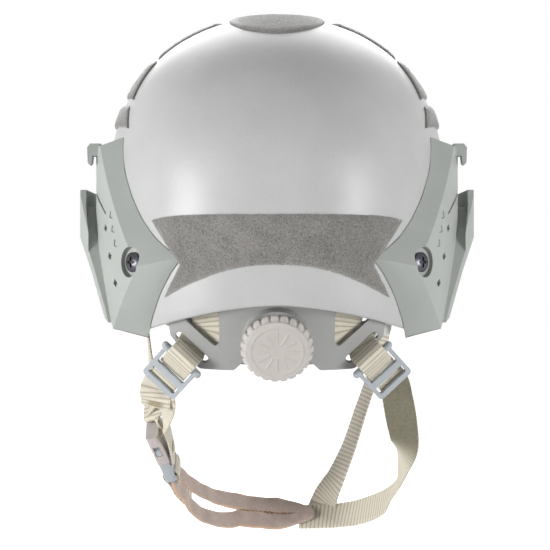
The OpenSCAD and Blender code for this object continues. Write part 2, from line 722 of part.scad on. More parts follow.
// Knob with scallops, seen from behind; its shaft runs through the collar
module dial_knob() {
    face_y = -collar_len - dial_gap;
    color([0.8, 0.78, 0.76]) in_cradle() rotate([90, 0, 0]) difference() {
        union() {
            translate([0, 0, -face_y]) cylinder(d = dial_d, h = dial_t, $fn = 96);
            translate([0, 0, -cradle_t - 0.4]) cylinder(d = dial_shaft_d, h = cradle_t + 0.5 - face_y, $fn = 64);
        }
        for (i = [0 : dial_lobes - 1]) rotate([0, 0, (i + 0.5) * 360 / dial_lobes])
            translate([dial_d / 2 + 0.6, 0, -face_y - 1]) cylinder(d = 4.4, h = dial_t + 2, $fn = 24);
        translate([0, 0, -face_y + dial_t - 1.2]) difference() {
            cylinder(d = dial_d * 0.8, h = 3, $fn = 96);
            translate([0, 0, -1]) cylinder(d = dial_d * 0.74, h = 3, $fn = 96);
        }
        translate([0, 0, -30]) cylinder(d = 3, h = 60, $fn = 24);
        translate([0, 0, -face_y + dial_t - 3]) cylinder(d = 7, h = 10, $fn = 32);
    }
}
module dial_screw() {
    head_y = collar_len + dial_gap + dial_t - 3;
    color(metal_color) in_cradle() rotate([90, 0, 0]) {
        translate([0, 0, head_y]) cylinder(d = 6.2, h = 2, $fn = 32);
        translate([0, 0, -rack_y - rack_t / 2]) cylinder(d = 3, h = head_y + rack_y + rack_t / 2, $fn = 24);
    }
}

module dial_pinion() {
    color([0.9, 0.9, 0.88]) in_cradle() rotate([90, 0, 0])
        translate([0, 0, -rack_y - rack_t / 2]) difference() {
            union() {
                linear_extrude(rack_t) union() {
                    circle(r = pitch_r - tooth_h / 2, $fn = 48);
                    for (i = [0 : pinion_teeth - 1]) rotate(i * 360 / pinion_teeth)
                        translate([0, pitch_r - tooth_h / 2]) polygon([
                            [-tooth_pitch * 0.3, -0.5], [-tooth_pitch * 0.27, 0], [-tooth_pitch * 0.1, tooth_h * 0.92],
                            [tooth_pitch * 0.1, tooth_h * 0.92], [tooth_pitch * 0.27, 0], [tooth_pitch * 0.3, -0.5]
                        ]);
                }
                translate([0, 0, rack_t - 0.1])
                    cylinder(d = dial_shaft_d - 1.4, h = rack_y - rack_t / 2 - cradle_t - 0.4, $fn = 48);
            }
            translate([0, 0, -1]) cylinder(d = 3, h = 20, $fn = 24);
        }
}

// Toothed arm on the right: its rack lies below the pinion, and the left one's above it
module band() {
    color([0.9, 0.9, 0.88]) in_cradle() {
        translate([0, rack_y + rack_t / 2, 0]) rotate([90, 0, 0]) linear_extrude(rack_t) {
            translate([-rack_reach + 4, -pitch_r - tooth_h / 2 - mesh_gap - rack_h + 1.6])
                square([rack_reach + 27, rack_h - 1.6]);
            for (i = [-6 : 8]) translate([(i + 0.5) * tooth_pitch, -pitch_r - tooth_h / 2 - mesh_gap])
                polygon([
                    [-tooth_pitch * 0.36, -0.2], [-tooth_pitch * 0.34, 0], [-tooth_pitch * 0.12, tooth_h * 0.95],
                    [tooth_pitch * 0.12, tooth_h * 0.95], [tooth_pitch * 0.34, 0], [tooth_pitch * 0.36, -0.2]
                ]);
        }
        arm();
    }
}
// Arm that bends forwards from the end of the rack
module arm() {
    rack_low = -pitch_r - tooth_h / 2 - mesh_gap - rack_h + 1.6;
    intersection() {
        translate([arm_x, rack_y + arm_r, -20]) difference() {
            cylinder(r = arm_r + rack_t / 2, h = 40, $fn = 120);
            translate([0, 0, -1]) cylinder(r = arm_r - rack_t / 2, h = 42, $fn = 120);
        }
        face_prism(rounded([
            [arm_x - 1, rack_low, 0], [arm_tip_x, rack_low, 3], [arm_tip_x, 3, 3], [46, 3, 4],
            [38, rack_low + rack_h - 1.6, 4], [arm_x - 1, rack_low + rack_h - 1.6, 0]
        ]), 0, 60);
    }
}

// Smooth curve through the points p, at share t of the span that starts at point i
function curve(p, i, t) = let(
    a = p[max(0, i - 1)], b = p[i], c = p[i + 1], d = p[min(len(p) - 1, i + 2)]
) 0.5 * (2 * b + (c - a) * t + (2 * a - 5 * b + 4 * c - d) * t * t + (3 * b - a - 3 * c + d) * t * t * t);
// Points of the curve, with per steps to a span
function sampled(p, per) = concat(
    [for (i = [0 : len(p) - 2], k = [0 : per - 1]) curve(p, i, k / per)], [p[len(p) - 1]]
);
// Flat webbing along a path of [point, direction of its width]
module ribbon(path, width, thick, per = 4) {
    middle = sampled([for (q = path) q[0]], per);
    across = sampled([for (q = path) q[1]], per);
    n = len(middle);
    sections = [
        for (i = [0 : n - 1]) let(
            along = unit(middle[min(n - 1, i + 1)] - middle[max(0, i - 1)]),
            w = unit(across[i] - along * (across[i] * along)) * width / 2,
            t = cross(along, unit(w)) * thick / 2
        ) each [middle[i] + w + t, middle[i] - w + t, middle[i] - w - t, middle[i] + w - t]
    ];
    last = 4 * (n - 1);
    polyhedron(points = sections, faces = concat(
        [for (i = [0 : n - 2]) each strip(4 * i, 4 * i + 4, 4)],
        [[0, 1, 2], [0, 2, 3], [last, last + 2, last + 1], [last, last + 3, last + 2]]
    ));
}
// Path seen in the mirror, for the left side
function left(path) = [for (q = path) [[-q[0].x, q[0].y, q[0].z], [-q[1].x, q[1].y, q[1].z]]];

// Place in the world of a point or a direction in the cradle's frame
function turned(v) = [
    v.x, v.y * cos(dial_tilt) - v.z * sin(dial_tilt), v.y * sin(dial_tilt) + v.z * cos(dial_tilt)
];
function from_cradle(v) = [0, cradle_y, cradle_z] + turned(v);
// Depth of the cradle's inner face at x
function cradle_in_y(x) = cradle_r - sqrt(pow(cradle_r - cradle_t, 2) - x * x);

// Slider: its middle, the way the webbing leaves it, and the direction across it
slider_at = [wing_x + 2, cradle_y + 21.1, cradle_z - 24.3];
slider_down = unit([0.59, 0.49, -0.64]);
slider_out = unit(cross(slider_down, [0.72, 0, 0.69]));
slider_across = cross(-slider_down, slider_out);
function from_slider(v) = slider_at + slider_across * v.x - slider_down * v.y + slider_out * v.z;
module at_slider() {
    a = slider_across;
    b = -slider_down;
    c = slider_out;
    multmatrix([
        [a.x, b.x, c.x, slider_at.x], [a.y, b.y, c.y, slider_at.y], [a.z, b.z, c.z, slider_at.z], [0, 0, 0, 1]
    ]) children();
}
slider_w = 27;
slider_t = 2.6;
slider_bar_d = 5;
slider_bar_y = 17;
module slider() {
    color(buckle_color) at_slider() {
        difference() {
            translate([0, 0, -slider_t / 2]) linear_extrude(slider_t) polygon(rounded([
                [-slider_w / 2, -9, 3], [slider_w / 2, -9, 3],
                [slider_w / 2, slider_bar_y, 1], [-slider_w / 2, slider_bar_y, 1]
            ]));
            for (window = [[-5.4, 0.4], [5, slider_bar_y - 1]]) translate([0, 0, -slider_t])
                linear_extrude(2 * slider_t) polygon(rounded([
                    [-web_w / 2 - 0.8, window[0], 1], [web_w / 2 + 0.8, window[0], 1],
                    [web_w / 2 + 0.8, window[1], 1], [-web_w / 2 - 0.8, window[1], 1]
                ]));
        }
        translate([-slider_w / 2, slider_bar_y, 0]) rotate([0, 90, 0])
            cylinder(d = slider_bar_d, h = slider_w, $fn = 32);
        for (s = [-1, 1]) translate([s * slider_w / 2, slider_bar_y, 0]) sphere(d = slider_bar_d, $fn = 32);
    }
}
module slider_right() slider();
module slider_left() mirror([1, 0, 0]) slider();

// Gap between webbing and what it lies on
web_gap = seat_gap + web_t / 2;
slider_web_z = -slider_t / 2 - web_gap;
web_over_bar = slider_bar_d / 2 + web_gap + 0.5;
// Direction in the cradle's inner face at x, at slope a to the level
function plate_dir(x, a) = turned([cos(a), cos(a) * tan(asin(x / (cradle_r - cradle_t))), sin(a)]);
slot_dir = plate_dir(cradle_slot.x, slot_slope);
// Point s along the webbing's way past the slot's middle, at depth d from the cradle's inner face
function by_slot(s, d) = let(
    x = cradle_slot.x + s * sin(slot_slope),
    z = cradle_slot.y - s * cos(slot_slope)
) from_cradle([x, cradle_in_y(x) + d, z]);
nape_path = [
    [on_side(-68, 2, -shell_wall - web_gap - 1.6), [0.9, 0.43, 0]],
    [on_side(-68, -4, -shell_wall - web_gap - 1.9), [0.9, 0.43, 0]],
    [[wing_x - 23, cradle_y - 8.4, -12], [0.93, 0.36, 0]],
    [from_cradle([wing_x - 21, 12.4, 22]), plate_dir(wing_x - 21, 4)],
    [by_slot(-16, 1.6), plate_dir(wing_x - 25, 24)],
    [by_slot(-8, 1.6), slot_dir],
    [by_slot(-2.2, 1.5), slot_dir],
    [by_slot(0.4, -1.3), slot_dir],
    [by_slot(1.2, -cradle_t - 1.2), slot_dir],
    [from_slider([0, 23, web_over_bar - 0.4]), slider_across],
    [from_slider([0, slider_bar_y + 1, web_over_bar]), slider_across],
    [from_slider([0, slider_bar_y - 4.5, 1.6]), slider_across],
    [from_slider([0, 8, slider_web_z + 0.7]), slider_across],
    [from_slider([0, 5.4, slider_web_z]), slider_across]
];
module nape_strap_right() color(web_color) ribbon(nape_path, web_w, web_t);
module nape_strap_left() color(web_color) ribbon(left(nape_path), web_w, web_t);

// Distance of the webbing from the middle plane beside the jaw
jaw_x = shell_half_w - 28.5;
rear_path = [
    [from_slider([0, 4, slider_web_z]), slider_across],
    [from_slider([0, -9, slider_web_z - 0.7]), slider_across],
    [[jaw_x - 5.5, -73, -88], [0.93, 0.05, 0.3]],
    [[jaw_x - 2.5, -61, -102], [1, -0.15, 0.05]],
    [[jaw_x, -45, -116], [0.85, -0.5, -0.1]],
    [[jaw_x, -22, -129], [0.5, -0.75, -0.4]],
    [[jaw_x - 1, -4, -140], [0.05, -0.62, -0.78]],
    [[jaw_x - 3.5, 10, -151], [0.1, -0.6, -0.79]],
    [[jaw_x - 10.5, 26, -162], [0.15, -0.62, -0.77]],
    [[58, 46, -170], [0.05, -0.66, -0.75]],
    [[44, 57.5, -173.8], [0, -0.66, -0.75]],
    [[30, 62.6, -175.3], [0, -0.66, -0.75]],
    [[16, 65.3, -175.8], [0, -0.66, -0.75]]
];
module rear_strap_right() color(web_color) ribbon(rear_path, web_w, web_t);

temple_turn = 19;
temple_z = 37;
anchor_t = 0.9;
temple_off = -shell_wall - anchor_t - web_gap - 1.6;
front_path = [
    [on_side(temple_turn, temple_z + 2, temple_off), [0.28, -0.96, 0]],
    [on_side(temple_turn, 22, temple_off), [0.28, -0.96, 0]],
    [[jaw_x + 1.5, 61, -14], [0.2, -0.97, 0]],
    [[jaw_x - 9.5, 61, -52], [0.3, -0.95, 0]],
    [[jaw_x - 18.5, 60, -81], [0.38, -0.92, 0]],
    [[jaw_x - 27.5, 60, -103], [0.42, -0.9, -0.05]],
    [[46, 60, -126], [0.45, -0.87, -0.1]],
    [[38, 59, -147], [0.5, -0.8, -0.25]],
    [[33.5, 58.5, -160], [0.55, -0.75, -0.3]]
];
module front_strap_right() color(web_color) ribbon(front_path, web_w, web_t);

// Left side: the rear and the front webbing meet above the buckle
left_rear_path = concat(left([rear_path[0], rear_path[1]]), [
    [[11.5 - jaw_x, -76, -88], [-0.78, 0.1, 0.6]],
    [[10.5 - jaw_x, -58, -97], [-0.45, 0.5, 0.75]],
    [[9 - jaw_x, -40, -104], [-0.1, 0.65, 0.75]],
    [[11.6 - jaw_x, -24, -113], [0, 0.65, 0.75]],
    [[14.2 - jaw_x, -9, -128], [0, 0.7, 0.7]]
]);
module rear_strap_left() color(web_color) ribbon(left_rear_path, web_w * 0.8, web_t);
left_front_path = concat(left([front_path[0], front_path[1]]), [
    [[-jaw_x - 9.5, 52, 0], [0.05, -0.9, 0.4]],
    [[-jaw_x - 6, 34, -40], [0.02, -0.86, 0.5]],
    [[-jaw_x - 2, 8, -70], [0.12, -0.82, 0.56]],
    [[-jaw_x + 0.5, -20, -92], [0.5, -0.66, 0.56]]
]);
module front_strap_left() color(web_color) ribbon(left_front_path, web_w, web_t);
tail_z = slider_t / 2 + web_gap;
tail_path = [
    [from_slider([0, 2.8, tail_z]), slider_across],
    [from_slider([0, -8, tail_z + 0.4]), slider_across],
    [from_slider([0, -13, tail_z + 0.6]), slider_across],
    [[jaw_x - 5, -78, -88], [0.8, 0, 0.6]],
    [[jaw_x - 5, -73, -95], [0.85, 0.1, 0.5]]
];
module strap_tail() color(web_color) ribbon(left(tail_path), web_w, web_t);

// Buckle: its middle, the way from socket to plug, and the direction out of its broad face
buckle_at = [6.5 - jaw_x, -9.5, -122.5];
buckle_down = unit([0.29, 0.6, -0.745]);
buckle_out = unit([-1, 0, 0] + buckle_down * buckle_down.x);
buckle_across = cross(buckle_out, buckle_down);
function from_buckle(v) = buckle_at + buckle_across * v.x - buckle_down * v.y + buckle_out * v.z;
module at_buckle() {
    a = buckle_across;
    b = -buckle_down;
    c = buckle_out;
    multmatrix([
        [a.x, b.x, c.x, buckle_at.x], [a.y, b.y, c.y, buckle_at.y], [a.z, b.z, c.z, buckle_at.z], [0, 0, 0, 1]
    ]) children();
}
socket_t = 8.6;
socket_mouth_y = -4;
// Block with rounded corners in the x, z plane, from y1 to y2
module buckle_block(width, thick, r, y1, y2) {
    translate([0, y2, 0]) rotate([90, 0, 0]) linear_extrude(y2 - y1) polygon(rounded([
        [-width / 2, -thick / 2, r], [width / 2, -thick / 2, r], [width / 2, thick / 2, r], [-width / 2, thick / 2, r]
    ]));
}
module buckle_socket() {
    color(buckle_color) at_buckle() difference() {
        buckle_block(buckle_w, socket_t, 2.5, socket_mouth_y, buckle_len / 2);
        buckle_block(buckle_w - 3.6, socket_t - 3.4, 0.8, socket_mouth_y - 1, 13.5);
        for (s = [-1, 1]) translate([s * buckle_w / 2 - 4, 3.5, -2.2]) cube([8, 8.5, 4.4]);
        translate([-web_w * 0.4 - 0.5, 15, -10]) cube([web_w * 0.8 + 1, 3.2, 20]);
    }
}
prong_x = 8.4;
module buckle_plug() {
    color(buckle_color) at_buckle() difference() {
        union() {
            buckle_block(buckle_w - 0.6, socket_t - 1, 2.2, -buckle_len / 2, socket_mouth_y - 0.4);
            buckle_block(5, 3.4, 0.6, socket_mouth_y - 1, 10);
        }
        translate([-web_w / 2 - 0.5, -buckle_len / 2 + 2.6, -10]) cube([web_w + 1, 4, 20]);
        for (s = [-1, 1]) translate([s * prong_x, socket_mouth_y - 3, -10]) cylinder(d = 4.2, h = 20, $fn = 32);
        for (s = [-1, 1]) translate([s * prong_x - 2.4, socket_mouth_y - 3, -10]) cube([4.8, 8, 20]);
    }
}
// Sprung prong with its catch, on the side s
module prong(s) {
    color(buckle_color) at_buckle() translate([0, 0, -1.9]) mirror([s < 0 ? 1 : 0, 0, 0]) linear_extrude(3.8) {
        translate([prong_x, socket_mouth_y - 3]) circle(d = 4, $fn = 32);
        polygon([
            [prong_x - 1, socket_mouth_y - 3], [prong_x + 1.2, socket_mouth_y - 3],
            [prong_x + 1.2, 3.8], [buckle_w / 2 - 0.2, 4], [buckle_w / 2 - 0.6, 7.5],
            [prong_x + 0.6, 11.4], [prong_x - 1, 11.4]
        ]);
    }
}
module prong_front() prong(-1);
module prong_rear() prong(1);
loop_path = [
    [[-jaw_x + 0.3, -27, -98], [-0.45, 0.66, 0.6]],
    [from_buckle([0, 24, 5.4]), -buckle_across],
    [from_buckle([0, 19.4, 5.6]), -buckle_across],
    [from_buckle([0, 16.8, 4]), -buckle_across],
    [from_buckle([0, 16.6, 0.5]), -buckle_across]
];
module buckle_loop_strap() color(web_color) ribbon(loop_path, web_w * 0.8, web_t);

cup_t = 3.2;
cup_path = [
    [from_buckle([0, -buckle_len / 2 - 1.4, 0]), -buckle_across],
    [from_buckle([0, -buckle_len / 2 - 7, 0]), -buckle_across],
    [[18.5 - jaw_x, 16, -148.5], [0, 0.72, 0.69]],
    [[32.5 - jaw_x, 34, -160.5], [0, 0.68, 0.73]],
    [[-26, 54, -170], [0, 0.66, 0.75]],
    [[2, 64, -173.5], [0, 0.66, 0.75]],
    [[26, 61.5, -173.2], [0, 0.66, 0.75]]
];
module chin_cup() color(cup_color) ribbon(cup_path, 22, cup_t);

// Plate that holds the front webbing to the shell at the temple
module strap_anchor() {
    color(metal_color) plate_on(
        function(u, v, off) on_side(temple_turn + 5.5 * u, temple_z + 6 * v, off),
        6, 3, function(u, v) -shell_wall - anchor_t - 0.25, function(u, v) -shell_wall - 0.25
    );
}
module strap_anchor_right() strap_anchor();
module strap_anchor_left() mirror([1, 0, 0]) strap_anchor();

module band_right() band();
module band_left() in_cradle() rotate([0, 180, 0]) from_in_cradle() band();
module from_in_cradle() {
    rotate([-dial_tilt, 0, 0]) translate([0, -cradle_y, -cradle_z]) children();
}

// Pad over the cover, against the nape: thickness, radius of its back and depth of the screw heads
nape_pad_t = 7;
nape_pad_r = 110;
cover_head_t = 1.4;
module nape_pad() {
    back_y = cover_in_y + cover_wall + seat_gap;
    color(pad_color) in_cradle() intersection() {
        translate([0, back_y + nape_pad_r, -22]) difference() {
            cylinder(r = nape_pad_r, h = 46, $fn = 120);
            translate([0, 0, -1]) cylinder(r = nape_pad_r - nape_pad_t, h = 48, $fn = 120);
        }
        face_prism(rounded([[-42, -20, 8], [42, -20, 8], [38, 23, 8], [-38, 23, 8]]), 0, 60);
    }
}

shell();
loop_crown();
loop_rear();
loop_front();
loop_side_upper_left();
loop_side_upper_right();
loop_side_lower_left();
loop_side_lower_right();
rail_left();
rail_right();
rail_screws();
rail_nuts();
shroud();
shroud_screws();
shroud_nuts();
pad_crown();
pad_front();
pad_side_left();
pad_side_right();
pad_rear_left();
pad_rear_right();
nape_cradle();
cradle_cover();
cover_screws();
nape_pad();
dial_knob();
dial_screw();
dial_pinion();
band_left();
band_right();
nape_strap_left();
nape_strap_right();
slider_left();
slider_right();
rear_strap_left();
rear_strap_right();
front_strap_left();
front_strap_right();
strap_tail();
strap_anchor_left();
strap_anchor_right();
buckle_loop_strap();
buckle_socket();
buckle_plug();
prong_front();
prong_rear();
chin_cup();
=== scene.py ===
"""High-cut combat helmet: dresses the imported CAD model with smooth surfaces, cloth and finishes."""

from __future__ import annotations

import json
import logging
from dataclasses import dataclass, field
from enum import Enum
from functools import reduce
from typing import Callable, Iterable, Sequence

import bpy
import numpy as np
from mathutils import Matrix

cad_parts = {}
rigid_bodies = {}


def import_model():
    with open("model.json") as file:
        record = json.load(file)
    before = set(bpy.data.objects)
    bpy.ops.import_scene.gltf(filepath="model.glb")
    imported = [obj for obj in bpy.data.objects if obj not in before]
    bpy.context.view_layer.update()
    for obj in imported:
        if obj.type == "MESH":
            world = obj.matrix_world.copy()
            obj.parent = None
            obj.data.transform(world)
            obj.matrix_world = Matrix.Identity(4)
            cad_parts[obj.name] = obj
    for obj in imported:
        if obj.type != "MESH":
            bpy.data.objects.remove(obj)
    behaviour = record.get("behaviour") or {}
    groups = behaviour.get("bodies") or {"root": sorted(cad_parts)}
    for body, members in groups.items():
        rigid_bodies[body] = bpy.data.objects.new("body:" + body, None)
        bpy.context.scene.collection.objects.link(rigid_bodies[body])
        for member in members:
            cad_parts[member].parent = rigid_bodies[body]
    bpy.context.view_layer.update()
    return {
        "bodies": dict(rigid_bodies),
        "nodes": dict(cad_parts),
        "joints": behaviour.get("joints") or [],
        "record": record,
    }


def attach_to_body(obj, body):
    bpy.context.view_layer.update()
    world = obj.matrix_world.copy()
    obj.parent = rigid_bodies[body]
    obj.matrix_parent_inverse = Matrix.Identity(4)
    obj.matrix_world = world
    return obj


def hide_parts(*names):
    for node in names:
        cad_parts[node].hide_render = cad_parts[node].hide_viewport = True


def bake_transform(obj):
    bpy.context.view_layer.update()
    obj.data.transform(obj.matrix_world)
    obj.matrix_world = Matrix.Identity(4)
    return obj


LOG = logging.getLogger("helmet")
MM = 0.001
Array = np.ndarray
Piece = bpy.types.Object
Tree = bpy.types.NodeTree
Socket = bpy.types.NodeSocket


# Numbers and directions


def unit(v: Array) -> Array:
    """Vectors along the last axis, scaled to length 1."""
    v = np.asarray(v, dtype=float)
    return v / np.maximum(np.linalg.norm(v, axis=-1, keepdims=True), 1e-12)


def soft_pow(v: Array, e: float) -> Array:
    """Power of the size of v, with the sign of v kept."""
    return np.sign(v) * np.abs(v) ** e


def smooth(t: Array) -> Array:
    """Blend from 0 to 1 that starts and ends level: 3t^2 - 2t^3 on the clipped t."""
    c = np.clip(t, 0, 1)
    return c * c * (3 - 2 * c)


def mix(a: Array, b: Array, t: Array) -> Array:
    """Value at share t of the way from a to b."""
    return a + (b - a) * t


def linear(code: str) -> tuple[float, float, float, float]:
    """Linear colour of an sRGB hex code.

    Args:
        code: six hex digits.

    Returns:
        Red, green, blue and alpha for a node socket.
    """
    c = np.array([int(code[i:i + 2], 16) for i in (0, 2, 4)]) / 255
    r, g, b = np.where(c <= 0.04045, c / 12.92, ((c + 0.055) / 1.055) ** 2.4)
    return float(r), float(g), float(b), 1.0


# Meshes


def grid_faces(rows: int, columns: int, closed: bool = False) -> Array:
    """Quads of a grid of points, row by row.

    Args:
        rows: number of rows.
        columns: number of points in a row.
        closed: whether a row's last point joins its first.

    Returns:
        An (n, 4) array of point indices.
    """
    r = np.arange(rows - 1)[:, None]
    c = np.arange(columns if closed else columns - 1)[None, :]
    r2, c2 = r + 1, (c + 1) % columns
    quad = np.broadcast_arrays(r * columns + c, r * columns + c2, r2 * columns + c2, r2 * columns + c)
    return np.stack(quad, axis=-1).reshape(-1, 4)


def capped(rows: int, columns: int) -> list:
    """Faces of a tube of closed rows with a flat cap at each end."""
    ring = np.arange(columns)
    return list(grid_faces(rows, columns, closed=True)) + [ring[::-1], ring + (rows - 1) * columns]


def build(name: str, points: Array, faces: Sequence, uv: Array | None = None) -> Piece:
    """Object at the origin from points and faces.

    Args:
        name: the piece's name.
        points: (n, 3) array, in metres.
        faces: lists or arrays of point indices.
        uv: (n, 2) array of the points' places on the surface, in metres, or None.

    Returns:
        The linked object.
    """
    mesh = bpy.data.meshes.new(name)
    mesh.from_pydata(np.asarray(points, dtype=float).tolist(), [], [list(map(int, f)) for f in faces])
    if uv is not None:
        corner = np.empty(len(mesh.loops), dtype=np.int32)
        mesh.loops.foreach_get("vertex_index", corner)
        layer = mesh.uv_layers.new(name="surface")
        layer.data.foreach_set("uv", np.asarray(uv, dtype=np.float32)[corner].ravel())
    mesh.polygons.foreach_set("use_smooth", np.full(len(mesh.polygons), True))
    mesh.update()
    made = bpy.data.objects.new(name, mesh)
    bpy.context.scene.collection.objects.link(made)
    return made


def slab(outer: Array, inner: Array) -> tuple[Array, list]:
    """Closed plate between two grids of the same shape, rows by columns by 3.

    The walls join the borders of the two grids; faces point out of the plate.

    Args:
        outer: grid of the outer face.
        inner: grid of the inner face.

    Returns:
        The points and the faces.
    """
    rows, columns = outer.shape[:2]
    n = rows * columns
    top = grid_faces(rows, columns)
    low = grid_faces(rows, columns)[:, ::-1] + n
    border = np.concatenate([
        np.arange(columns - 1), np.arange(rows - 1) * columns + columns - 1,
        np.arange(n - 1, n - columns, -1), np.arange(n - columns, 0, -columns)
    ])
    after = np.roll(border, -1)
    walls = np.stack([after, border, border + n, after + n], axis=-1)
    return np.concatenate([outer.reshape(-1, 3), inner.reshape(-1, 3)]), list(top) + list(low) + list(walls)


def orient(piece: Piece) -> Piece:
    """Turns a closed mesh right side out where its signed volume is negative.

    Args:
        piece: a closed mesh.

    Returns:
        The same piece.
    """
    mesh = piece.data
    mesh.calc_loop_triangles()
    tri = np.empty(len(mesh.loop_triangles) * 3, dtype=np.int32)
    mesh.loop_triangles.foreach_get("vertices", tri)
    co = np.empty(len(mesh.vertices) * 3)
    mesh.vertices.foreach_get("co", co)
    a, b, c = (co.reshape(-1, 3)[tri.reshape(-1, 3)[:, k]] for k in range(3))
    if np.einsum("ij,ij->i", a, np.cross(b, c)).sum() < 0:
        mesh.flip_normals()
    return piece


def finer(piece: Piece, levels: int) -> None:
    """Adds a subdivision surface whose view and render levels are the same.

    Args:
        piece: the piece.
        levels: number of subdivisions.
    """
    made = piece.modifiers.new("Subdivision", "SUBSURF")
    made.levels = levels
    made.render_levels = levels


def speckle(rows: int, columns: int, seed: int, soft: int) -> Array:
    """Random heights from -1 to 1 on a grid, each the mean of its neighbours soft times over.

    Args:
        rows: number of rows.
        columns: number of columns.
        seed: the random draw's seed.
        soft: how many times each height becomes the mean of itself and its neighbours.

    Returns:
        A (rows, columns) array.
    """
    high = np.random.default_rng(seed).normal(size=(rows, columns))
    for _ in range(soft):
        beside = np.roll(high, 1, 0) + np.roll(high, -1, 0) + np.roll(high, 1, 1) + np.roll(high, -1, 1)
        high = (high + beside) / 5
    return np.clip(high / (2.2 * high.std()), -1, 1)


# Form of the shell, as in the part's source


@dataclass(frozen=True)
class ShellForm:
    """Superellipse dome with a skirt that draws in; all sizes in millimetres.

    A level of the skin is |x/a|^n + |y/b|^n = s^n with a scale s that falls towards the crown.
    climb and brow are the turns from the nape, in degrees, at which the rim rises to the ear cut
    and comes down to the brow, each with the length of its slope.
    """

    half_w: float = 111
    rear: float = 142
    front: float = 134
    widest_z: float = 50
    dome_h: float = 112
    wall: float = 4
    ear_cut_z: float = 26
    nape_drop: float = 27
    corner_drop: float = 43
    plan_n: float = 2.2
    dome_n: float = 2.18
    side_tuck: float = 0.05
    rear_tuck: float = 0.09
    front_tuck: float = 0.04
    tuck_h: float = 90
    climb: tuple[float, float] = (54, 24)
    brow: tuple[float, float] = (112, 12)

    def scale(self, a: Array, z: Array, off: Array) -> Array:
        """Scale of the plan at plan angle a (radians) and height z, for a skin at off.

        Args:
            a: plan angle, in radians.
            z: height.
            off: offset outwards from the shell's skin, in millimetres.

        Returns:
            The scale, 1 at the widest level.
        """
        up = np.clip((z - self.widest_z) / (self.dome_h + off), 0, 1)
        dome = np.maximum(0, 1 - up ** self.dome_n) ** (1 / self.dome_n)
        tuck = (self.side_tuck + (self.rear_tuck - self.side_tuck) * np.maximum(0, -np.sin(a)) ** 2
                + (self.front_tuck - self.side_tuck) * np.maximum(0, np.sin(a)) ** 2)
        skirt = 1 - tuck * (np.maximum(0, self.widest_z - z) / self.tuck_h) ** 2
        return np.where(z >= self.widest_z, dome, skirt)

    def side(self, a: Array, z: Array, off: Array = 0.0) -> Array:
        """Point of the skin at plan angle a in degrees, height z and offset off, in millimetres.

        Args:
            a: plan angle in degrees, 90 at the brow.
            z: height.
            off: offset outwards from the shell's skin, in millimetres.

        Returns:
            Points, with x, y and z last.
        """
        a, z, off = np.broadcast_arrays(np.radians(a), np.asarray(z, float), np.asarray(off, float))
        s = self.scale(a, z, off)
        length = np.where(np.sin(a) >= 0, self.front, self.rear)
        return np.stack([
            s * (self.half_w + off) * soft_pow(np.cos(a), 2 / self.plan_n),
            s * (length + off) * soft_pow(np.sin(a), 2 / self.plan_n), z
        ], axis=-1)

    def top(self, x: Array, y: Array, off: Array = 0.0) -> Array:
        """Point of the skin above plan point x, y at offset off, in millimetres.

        Args:
            x: place to the right.
            y: place to the front.
            off: offset outwards from the shell's skin, in millimetres.

        Returns:
            Points, with x, y and z last.
        """
        x, y, off = np.broadcast_arrays(np.asarray(x, float), np.asarray(y, float), np.asarray(off, float))
        length = np.where(y >= 0, self.front, self.rear)
        r = (np.abs(x / (self.half_w + off)) ** self.plan_n
             + np.abs(y / (length + off)) ** self.plan_n) ** (1 / self.plan_n)
        rise = np.maximum(0, 1 - r ** self.dome_n) ** (1 / self.dome_n)
        return np.stack([x, y, self.widest_z + (self.dome_h + off) * rise], axis=-1)

    def rim(self, a: Array) -> Array:
        """Height of the rim at plan angle a in degrees: nape, climb to the ear cut, brow.

        Args:
            a: plan angle in degrees, 90 at the brow.

        Returns:
            The rim's height.
        """
        turn = np.degrees(np.arccos(-np.sin(np.radians(a))))
        low = np.sin(np.radians(np.minimum(90, turn))) / np.sin(np.radians(self.climb[0]))
        low = np.minimum(1, low) ** 1.6
        rear = -mix(self.nape_drop, self.corner_drop, low)
        side = mix(rear, self.ear_cut_z, smooth((turn - self.climb[0]) / self.climb[1]))
        return mix(side, 0, smooth((turn - self.brow[0]) / self.brow[1]))


SHELL = ShellForm()


# Finishes


def node(tree: Tree, kind: str, sockets: dict | None = None, **fields) -> bpy.types.Node:
    """Adds a node with its settings and links.

    Args:
        tree: the node tree.
        kind: the node's type.
        sockets: input names or numbers, each with a value or with the output that feeds it.
        fields: the node's own properties.

    Returns:
        The new node.
    """
    made = tree.nodes.new(kind)
    for name, value in fields.items():
        setattr(made, name, value)
    for name, value in (sockets or {}).items():
        if isinstance(value, Socket):
            tree.links.new(value, made.inputs[name])
        else:
            made.inputs[name].default_value = value
    return made


def ramp(tree: Tree, factor: Socket, stops: Sequence[tuple[float, str]]) -> Socket:
    """Colour of a ramp with stops of place and hex code, fed by factor.

    Args:
        tree: the material's node tree.
        factor: the value that picks the place.
        stops: places from 0 to 1, each with its hex code.

    Returns:
        The ramp's colour.
    """
    made = node(tree, "ShaderNodeValToRGB", {0: factor})
    band = made.color_ramp
    while len(band.elements) < len(stops):
        band.elements.new(0.5)
    for element, (place, code) in zip(band.elements, stops):
        element.position = place
        element.color = linear(code)
    return made.outputs[0]


